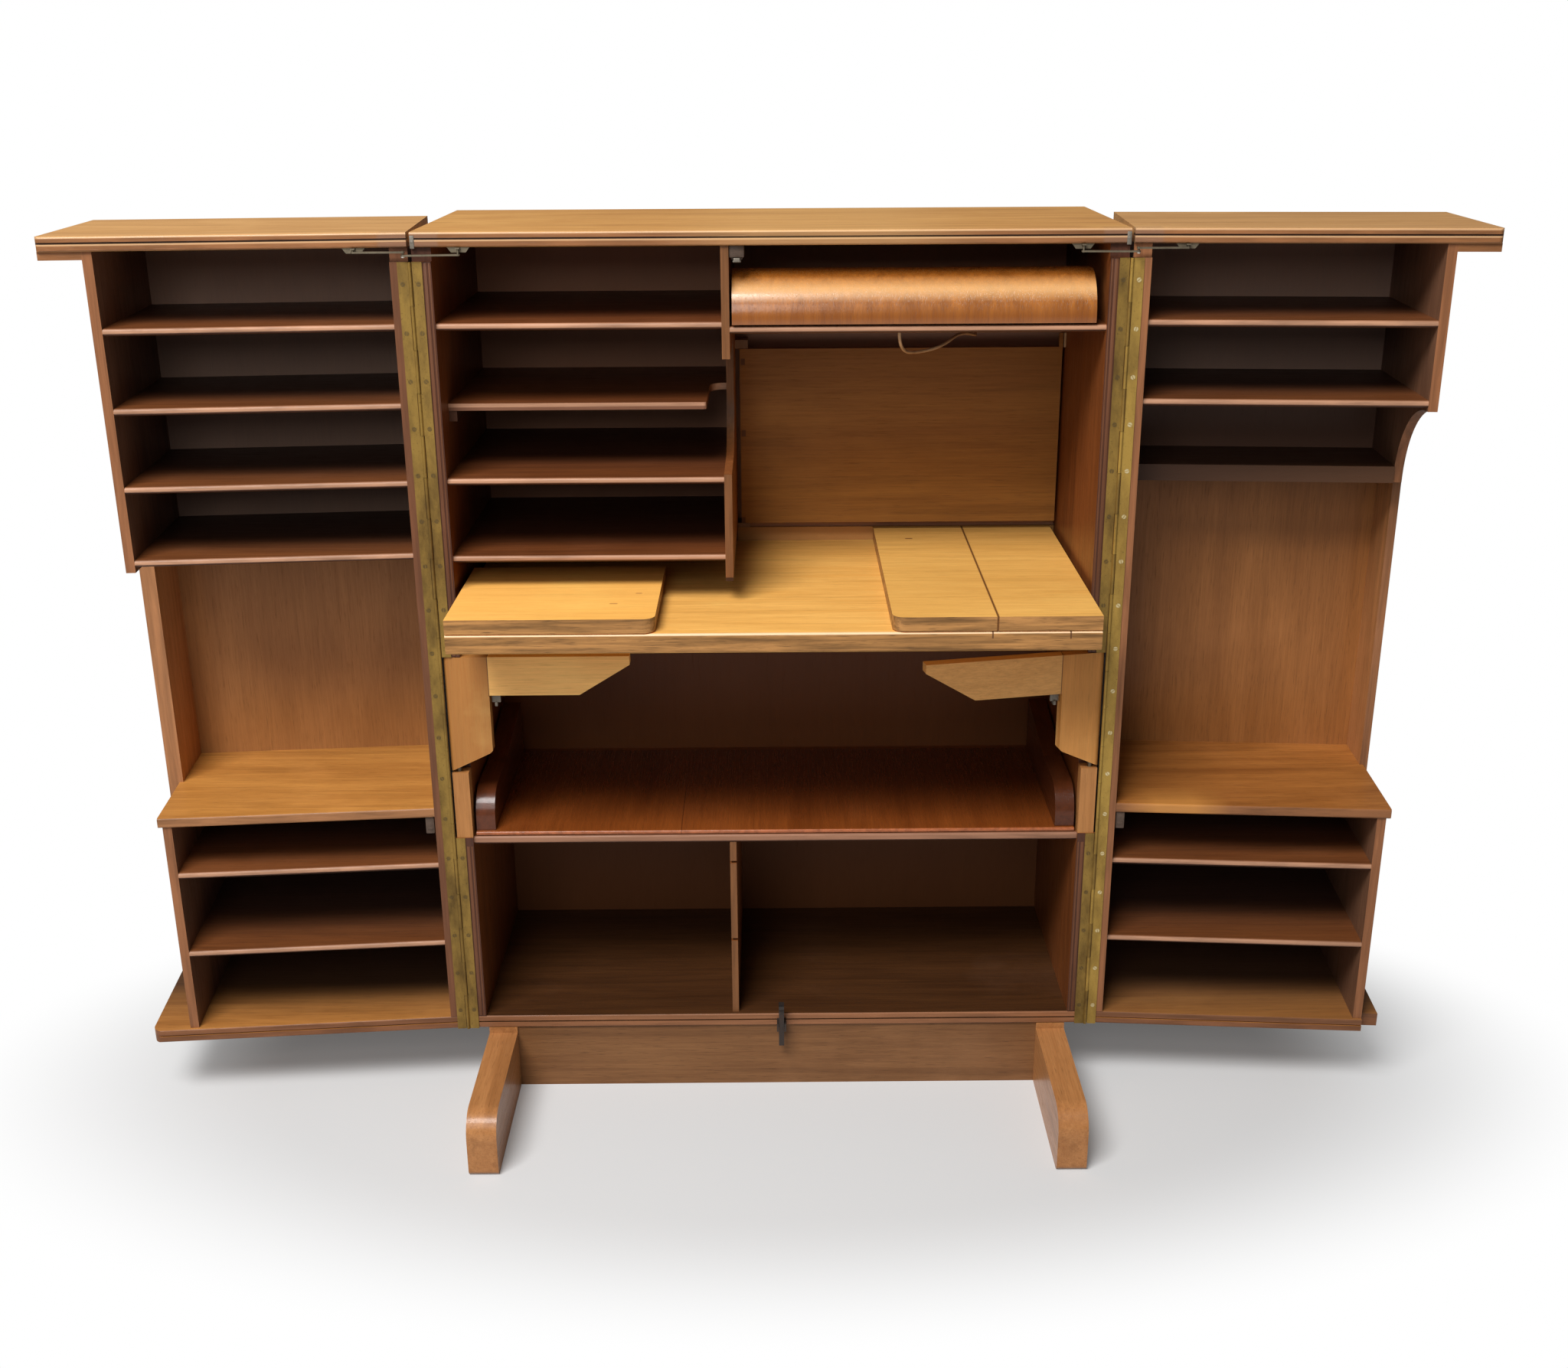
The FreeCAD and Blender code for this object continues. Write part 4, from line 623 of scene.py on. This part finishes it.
def hardware_finishes():
    """Brass, steel, zinc and iron, the lamp's glass and the flex's covering."""
    return {
        "brass": metal("aged_brass", (0.31, 0.186, 0.038), (0.09, 0.048, 0.009), 0.42, 0.55, 0.85),
        "brass_right": metal("rubbed_brass", (0.44, 0.27, 0.055), (0.14, 0.078, 0.014), 0.4, 0.55, 0.7),
        "screw": metal("screw_brass", (0.68, 0.56, 0.31), (0.40, 0.29, 0.12), 0.34, 0.6),
        "dark_screw": metal("stained_screw", (0.16, 0.10, 0.03), (0.05, 0.03, 0.012), 0.45, 0.6),
        "steel": metal("stay_steel", (0.20, 0.165, 0.11), (0.07, 0.052, 0.034), 0.42, 0.7, 0.7),
        "bright": metal("bright_steel", (0.80, 0.78, 0.74), (0.5, 0.47, 0.42), 0.3, 0.6, 0.3),
        "plate": metal("corner_plate_zinc", (0.20, 0.175, 0.14), (0.10, 0.08, 0.06), 0.45, 0.4, 0.6),
        "iron": metal("latch_iron", (0.045, 0.042, 0.04), (0.10, 0.05, 0.03), 0.42, 0.7),
        "glass": smooth_finish("lamp_glass", (0.86, 0.86, 0.82), (0.70, 0.70, 0.66), 0.12),
        "cord": smooth_finish("flex_covering", (0.52, 0.32, 0.16), (0.34, 0.19, 0.09), 0.4),
    }


FINISH = {
    **carcass_finishes(), **shelf_finishes(), **base_finishes(),
    **door_finishes(), **counter_finishes(), **panel_finishes(),
    **desktop_finishes(), **bracket_finishes(), **service_finish(), **tray_finishes(), **hood_finish(),
    **small_wood_finishes(), **hardware_finishes(),
}

# Which finish each piece of the frame has.
NODE_FINISH = {
    "feet": "base", "stretchers": "stretcher", "carcass_top": "top", "carcass_bottom": "floor",
    "carcass_back": "back", "carcass_side_left": "side", "carcass_side_right": "side",
    "middle_shelf": "middle", "lower_divider": "divider", "upper_divider": "divider",
    "pigeonhole_shelves": "shelf", "letter_shelf": "letter", "lamp_shelf": "shelf",
    "hood_pivots": "steel", "lamp": "glass", "panel_fittings": "fitting", "desk_runners": "runner",
    "bracket_battens": "batten", "bracket_pins": "steel", "latch_bracket": "iron", "latch_hook": "iron",
    "cabinet_hinge_leaves": "brass", "hinge_pins": "brass", "cabinet_staples": "steel",
    "desktop": "desk", "left_leaf": "leaf_left_lit", "right_leaf_inner": "leaf_right",
    "right_leaf_outer": "leaf_right", "tray": "tray", "tray_rails": "rail", "lamp_hood": "hood",
    "hood_plates": "steel", "service_panel": "pale",
}
for side in SIDES:
    NODE_FINISH.update({
        f"bracket_{side}": f"bracket_{side}", f"stay_{side}_cabinet_link": "steel",
        f"stay_{side}_door_link": "steel", f"door_{side}_top": "door_top",
        f"door_{side}_bottom": "door_floor", f"door_{side}_panel": f"panel_{side}",
        f"door_{side}_outer_walls": "wall", f"door_{side}_shelves": "door_shelf",
        f"door_{side}_counter": f"counter_{side}", f"door_{side}_staple": "steel",
    })
NODE_FINISH.update({
    "door_left_hinge_wall": "hinge_wall_left", "door_right_hinge_wall": "wall",
    "door_left_side_board": "board_left_lit", "door_right_side_board": "board",
    "door_left_hinge_leaf": "brass", "door_right_hinge_leaf": "brass_right",
})
for node, finish in NODE_FINISH.items():
    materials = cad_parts[node].data.materials
    materials.clear()
    materials.append(FINISH[finish])


# ---------------------------------------------------------------- making small pieces

# New pieces are made in millimetres, in the frame of what they sit on.
MILLIMETRE = 0.001
SHARP = math.radians(30)
CABINET = Matrix.Translation((0, HINGE_PLANE, 0))


def door_frame(side):
    """From a door's own frame, about its hinge, to the frame of the whole desk."""
    sign = SIDES[side]
    hinge = Matrix.Translation((sign * HINGE_SPAN, HINGE_PLANE, 0))
    return hinge @ Matrix.Rotation(-sign * DOOR_TURN, 4, "Z")


def bracket_frame(side):
    """From a bracket's own frame, about its pin, to the frame of the whole desk."""
    reach, back = BRACKET_PIN
    pin = Matrix.Translation((SIDES[side] * reach, back + HINGE_PLANE, 0))
    return pin @ Matrix.Rotation(BRACKET_TURNS[side], 4, "Z")


def settle(name, bm, finish, body, place=CABINET):
    """Turn a bmesh made in millimetres into a piece that rides on a body."""
    bmesh.ops.scale(bm, vec=(MILLIMETRE, MILLIMETRE, MILLIMETRE), verts=bm.verts)
    bmesh.ops.transform(bm, matrix=place, verts=bm.verts)
    bmesh.ops.recalc_face_normals(bm, faces=bm.faces)
    mesh = bpy.data.meshes.new(name)
    bm.to_mesh(mesh)
    bm.free()
    mesh.shade_smooth()
    mesh.set_sharp_from_angle(angle=SHARP)
    piece = bpy.data.objects.new(name, mesh)
    bpy.context.scene.collection.objects.link(piece)
    mesh.materials.append(FINISH[finish])
    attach(piece, body)


def add_block(bm, x, y, z, bevel):
    """Block between limits on each axis, with softened edges."""
    made = bmesh.ops.create_cube(bm, size=1)["verts"]
    limits = (x, y, z)
    bmesh.ops.scale(bm, vec=[high - low for low, high in limits], verts=made)
    bmesh.ops.translate(bm, vec=[(low + high) / 2 for low, high in limits], verts=made)
    edges = list({e for v in made for e in v.link_edges})
    bmesh.ops.bevel(bm, geom=edges, offset=bevel, segments=2, profile=0.5, affect="EDGES", material=-1)


def blocks(name, parts, finish, body, place=CABINET):
    """Piece of softened blocks, each given by its limits in x, y and z and the size of its bevel."""
    bm = bmesh.new()
    for x, y, z, bevel in parts:
        add_block(bm, x, y, z, bevel)
    settle(name, bm, finish, body, place)


def across(sign, near, far):
    """Limits in x on one side of the middle, in rising order."""
    return sorted((sign * near, sign * far))


def inset(limits, step):
    """Limits drawn in by a step at both ends."""
    low, high = limits
    return low + step, high - step


# ---------------------------------------------------------------- hinge screws

SCREW_RADIUS = 2.9
SCREW_INSET = 9.6
SCREW_FRONT = 0.35
SCREW_COUNT = 18
FIRST_SCREW = 127
SCREW_PITCH = 59.5
BRACKET_BAY = (405, 690)

# Shares of a screw's radius.
HEAD_RIM = 0.22
HEAD_RISE = 0.1
SLOT_HALF = 0.14
SLOT_MIDDLE = 0.1
SLOT_INSET = 0.02
SLOT_DEPTH = 0.18

# How far each screw's slot is turned from the one below it.
DOOR_SLOT_TURN = 0.7
CABINET_SLOT_TURN = 1.1


def screw_head(radius):
    """Slotted screw head, centred on the origin and looking to the front."""
    bm = bmesh.new()
    bmesh.ops.create_circle(bm, cap_ends=True, radius=radius, segments=16)
    bm.faces.ensure_lookup_table()
    face = bm.faces[0]
    bmesh.ops.inset_region(bm, faces=[face], thickness=radius * HEAD_RIM, depth=radius * HEAD_RISE)
    geom = [face, *face.edges, *face.verts]
    for y in (-radius * SLOT_HALF, radius * SLOT_HALF):
        cut = bmesh.ops.bisect_plane(bm, geom=geom, plane_co=(0, y, 0), plane_no=(0, 1, 0))
        geom = [item for item in cut["geom"] if item.is_valid]
    near = radius * SLOT_MIDDLE
    middles = {f: f.calc_center_median() for f in bm.faces}
    slot_faces = [f for f, middle in middles.items() if abs(middle.x) < near and abs(middle.y) < near]
    bmesh.ops.inset_region(bm, faces=slot_faces, thickness=radius * SLOT_INSET, depth=-radius * SLOT_DEPTH)
    bmesh.ops.transform(bm, matrix=Matrix.Rotation(math.pi / 2, 3, "X"), verts=bm.verts)
    mesh = bpy.data.meshes.new("screw_head")
    bm.to_mesh(mesh)
    bm.free()
    return mesh


SCREW = screw_head(SCREW_RADIUS)


def add_screw(bm, x, z, turn):
    """Put one screw head in a hinge leaf, its slot turned."""
    before = set(bm.verts)
    bm.from_mesh(SCREW)
    made = [v for v in bm.verts if v not in before]
    place = Matrix.Translation((x, SCREW_FRONT, z)) @ Matrix.Rotation(turn, 4, "Y")
    bmesh.ops.transform(bm, matrix=place, verts=made)


def hinge_screws(side):
    """Rows of screws down both leaves of a piano hinge. The cabinet's has none beside the bracket."""
    sign = SIDES[side]
    door = bmesh.new()
    cabinet = bmesh.new()
    low, high = BRACKET_BAY
    for count in range(SCREW_COUNT):
        z = FIRST_SCREW + count * SCREW_PITCH
        add_screw(door, sign * SCREW_INSET, z, count * DOOR_SLOT_TURN)
        if not low < z < high:
            add_screw(cabinet, sign * (HINGE_SPAN / MILLIMETRE - SCREW_INSET), z, count * CABINET_SLOT_TURN)
    door_finish = "dark_screw" if side == "left" else "screw"
    settle(f"door_{side}_hinge_screws", door, door_finish, f"{side}_door", door_frame(side))
    settle(f"cabinet_{side}_hinge_screws", cabinet, "dark_screw", "cabinet")


# ---------------------------------------------------------------- small fittings

BEAD_HEIGHTS = ((117, 382), (658, 1164))
RIVET_RADIUS = 2.4
RIVET_FLATNESS = 0.75
RIVET_PLACE = (445.8, -5.17, 1171.8)


def lamp_cleat():
    """Wooden cleat under the top, left of the lamp, and the flat spring below it."""
    blocks("lamp_cleat", (((-51.4, -33), (8, 52), (1167, 1181.6), 1.2),
                          ((-49, -35), (12, 46), (1164, 1167.2), 0.8)), "cleat", "cabinet")
    blocks("lamp_cleat_spring", (((-47, -37), (4, 40), (1161.6, 1163.6), 0.7),
                                 ((-46, -38), (2.4, 5), (1162, 1167), 0.7)), "plate", "cabinet")


def side_beads(side):
    """Two thin beads down the front of a cabinet side, above and below the bracket."""
    parts = []
    for height in BEAD_HEIGHTS:
        parts.append((across(SIDES[side], 423.6, 419.2), (0.9, 2.4), height, 0.7))
        parts.append((across(SIDES[side], 417.6, 415.2), (1.1, 2.4), height, 0.6))
    blocks(f"{side}_side_beads", parts, "bead", "cabinet")


def corner_plate(side):
    """Small metal plate in the upper front corner of the cabinet."""
    x = across(SIDES[side], 437.8, 432.4)
    blocks(f"{side}_corner_plate", ((x, (0.7, 2.2), (1180.4, 1196), 0.5),
                                    (inset(x, 0.8), (0.3, 1.2), (1187, 1190), 0.4)),
           "plate", "cabinet")


def counter_cleat(side):
    """Cleat under a door's counter, beside the hinge."""
    x = across(SIDES[side], 25.6, 37.4)
    blocks(f"{side}_counter_cleat", ((x, (6, 24), (401, 425.6), 1.2),
                                     (inset(x, 2), (5.2, 7), (407, 411), 0.6)),
           "cleat", f"{side}_door", door_frame(side))


def bracket_catch(side):
    """Catch under a bracket's arm."""
    x = across(-SIDES[side], 50, 62)
    blocks(f"{side}_bracket_catch", ((x, (-1.5, 1.5), (590, 601.7), 0.8),
                                     (inset(x, 4), (-4, 4), (585, 591), 1.0)),
           "plate", f"{side}_bracket", bracket_frame(side))


def stay_rivet(side):
    """Domed rivet under the link of a stay."""
    x, y, z = RIVET_PLACE
    rivet = bmesh.new()
    dome = bmesh.ops.create_uvsphere(rivet, u_segments=16, v_segments=8, radius=RIVET_RADIUS)["verts"]
    bmesh.ops.scale(rivet, vec=(1, 1, RIVET_FLATNESS), verts=dome)
    bmesh.ops.translate(rivet, vec=(SIDES[side] * x, y, z), verts=dome)
    settle(f"{side}_stay_rivet", rivet, "bright", f"{side}_stay_cabinet_link")


for side in SIDES:
    hinge_screws(side)
lamp_cleat()
for side in SIDES:
    side_beads(side)
    corner_plate(side)
    counter_cleat(side)
    bracket_catch(side)
    stay_rivet(side)


# ---------------------------------------------------------------- lamp flex

CORD_POINTS = ((0.159, -0.044, 1.075), (0.159, -0.044, 1.050), (0.190, 0.036, 1.036),
               (0.222, 0.048, 1.042), (0.250, 0.086, 1.056), (0.286, 0.176, 1.036),
               (0.286, 0.262, 1.030))
CORD_DIAMETER = 0.004


def lamp_flex():
    """Flex that hangs below the lamp shelf."""
    curve = bpy.data.curves.new("lamp_flex", "CURVE")
    curve.dimensions = "3D"
    curve.bevel_depth = CORD_DIAMETER / 2
    curve.bevel_resolution = 4
    curve.resolution_u = 16
    curve.use_fill_caps = True
    spline = curve.splines.new("NURBS")
    spline.points.add(len(CORD_POINTS) - 1)
    for point, place in zip(spline.points, CORD_POINTS):
        point.co = (*place, 1)
    spline.order_u = 3
    spline.use_endpoint_u = True
    curve.materials.append(FINISH["cord"])
    piece = bpy.data.objects.new("lamp_flex", curve)
    bpy.context.scene.collection.objects.link(piece)
    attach(piece, "cabinet")
    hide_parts("lamp_cord")


lamp_flex()


# ---------------------------------------------------------------- stage, light and camera

WORLD_LIGHT = 0.11
WORLD_WHITE = 1.0
FLOOR_HALF = 14
FLOOR_GREY = (0.6, 0.6, 0.6)
FLOOR_SQUASH = (0.5, 1, 1)
SHADOW_REACH = (0.36, 0.62)
SHADOW_TO_WHITE = (0.1, 1.0)
CAMERA_PLACE = (0.0021, -2.1881, 1.385)
CAMERA_TURN = (0.288, 19.893, 0.319)
LENS = 39.13
SENSOR = 36


def build_world():
    """White surroundings, dimmer as a light than as a background."""
    world = bpy.data.worlds.new("studio")
    world.use_nodes = True
    tree = world.node_tree
    background = tree.nodes["Background"]
    background.inputs["Color"].default_value = (1, 1, 1, 1)
    path = tree.nodes.new("ShaderNodeLightPath")
    strength = tree.nodes.new("ShaderNodeMapRange")
    strength.inputs["To Min"].default_value = WORLD_LIGHT
    strength.inputs["To Max"].default_value = WORLD_WHITE
    tree.links.new(path.outputs["Is Camera Ray"], strength.inputs["Value"])
    tree.links.new(strength.outputs["Result"], background.inputs["Strength"])
    bpy.context.scene.world = world


def floor_paint():
    """Pale paint that shows the shadow near the desk and turns white away from it."""
    n = Nodes("studio_floor_paint")
    n.feed(n.shader.inputs["Base Color"], FLOOR_GREY)
    n.shader.inputs["Roughness"].default_value = 0.9
    n.shader.inputs["Specular IOR Level"].default_value = 0.0
    away = n.add("ShaderNodeVectorMath", operation="LENGTH")
    n.link(n.stretched(FLOOR_SQUASH), away.inputs[0])
    fade = n.span(away.outputs["Value"], *SHADOW_REACH, *SHADOW_TO_WHITE, curve="SMOOTHSTEP")
    seen = n.add("ShaderNodeLightPath").outputs["Is Camera Ray"]
    white = n.add("ShaderNodeEmission")
    white.inputs["Strength"].default_value = 1.0
    blend = n.add("ShaderNodeMixShader")
    for slot, out in zip(blend.inputs, (n.times(seen, fade), n.shader.outputs[0], white.outputs[0])):
        n.link(out, slot)
    n.link(blend.outputs[0], n.tree.nodes["Material Output"].inputs["Surface"])
    return n.material


def build_floor():
    """Wide flat floor under the feet."""
    bm = bmesh.new()
    bmesh.ops.create_grid(bm, x_segments=2, y_segments=2, size=FLOOR_HALF)
    mesh = bpy.data.meshes.new("studio_floor")
    bm.to_mesh(mesh)
    bm.free()
    mesh.materials.append(floor_paint())
    floor = bpy.data.objects.new("studio_floor", mesh)
    bpy.context.scene.collection.objects.link(floor)


def add_lamp(name, place, target, size, power):
    """Soft rectangular lamp aimed at a point."""
    light = bpy.data.lights.new(name, "AREA")
    light.shape = "RECTANGLE"
    light.size, light.size_y = size
    light.energy = power
    lamp = bpy.data.objects.new(name, light)
    lamp.location = place
    lamp.rotation_euler = (Vector(target) - Vector(place)).to_track_quat("-Z", "Y").to_euler()
    bpy.context.scene.collection.objects.link(lamp)


def build_camera():
    """Camera in front of the desk, a little above it, looking down."""
    yaw, pitch, roll = (math.radians(angle) for angle in CAMERA_TURN)
    ahead = Vector((math.sin(yaw) * math.cos(pitch), math.cos(yaw) * math.cos(pitch), -math.sin(pitch)))
    level = Vector((math.cos(yaw), -math.sin(yaw), 0))
    down = ahead.cross(level)
    right = math.cos(roll) * level + math.sin(roll) * down
    down = math.cos(roll) * down - math.sin(roll) * level
    turn = Matrix((right, -down, -ahead)).transposed().to_4x4()
    camera = bpy.data.objects.new("camera", bpy.data.cameras.new("camera"))
    camera.data.lens = LENS
    camera.data.sensor_width = SENSOR
    camera.data.sensor_fit = "HORIZONTAL"
    camera.matrix_world = Matrix.Translation(CAMERA_PLACE) @ turn
    bpy.context.scene.collection.objects.link(camera)
    bpy.context.scene.camera = camera


build_world()
build_floor()
add_lamp("key_lamp", place=(-1.4, -2.6, 4.25), target=(0, 0, 0.7), size=(2.4, 1.6), power=290)
add_lamp("fill_lamp", place=(-0.7, -3.4, 2.3), target=(0, 0, 0.8), size=(1.4, 1.2), power=24)
build_camera()
bpy.context.scene.view_settings.view_transform = "Standard"
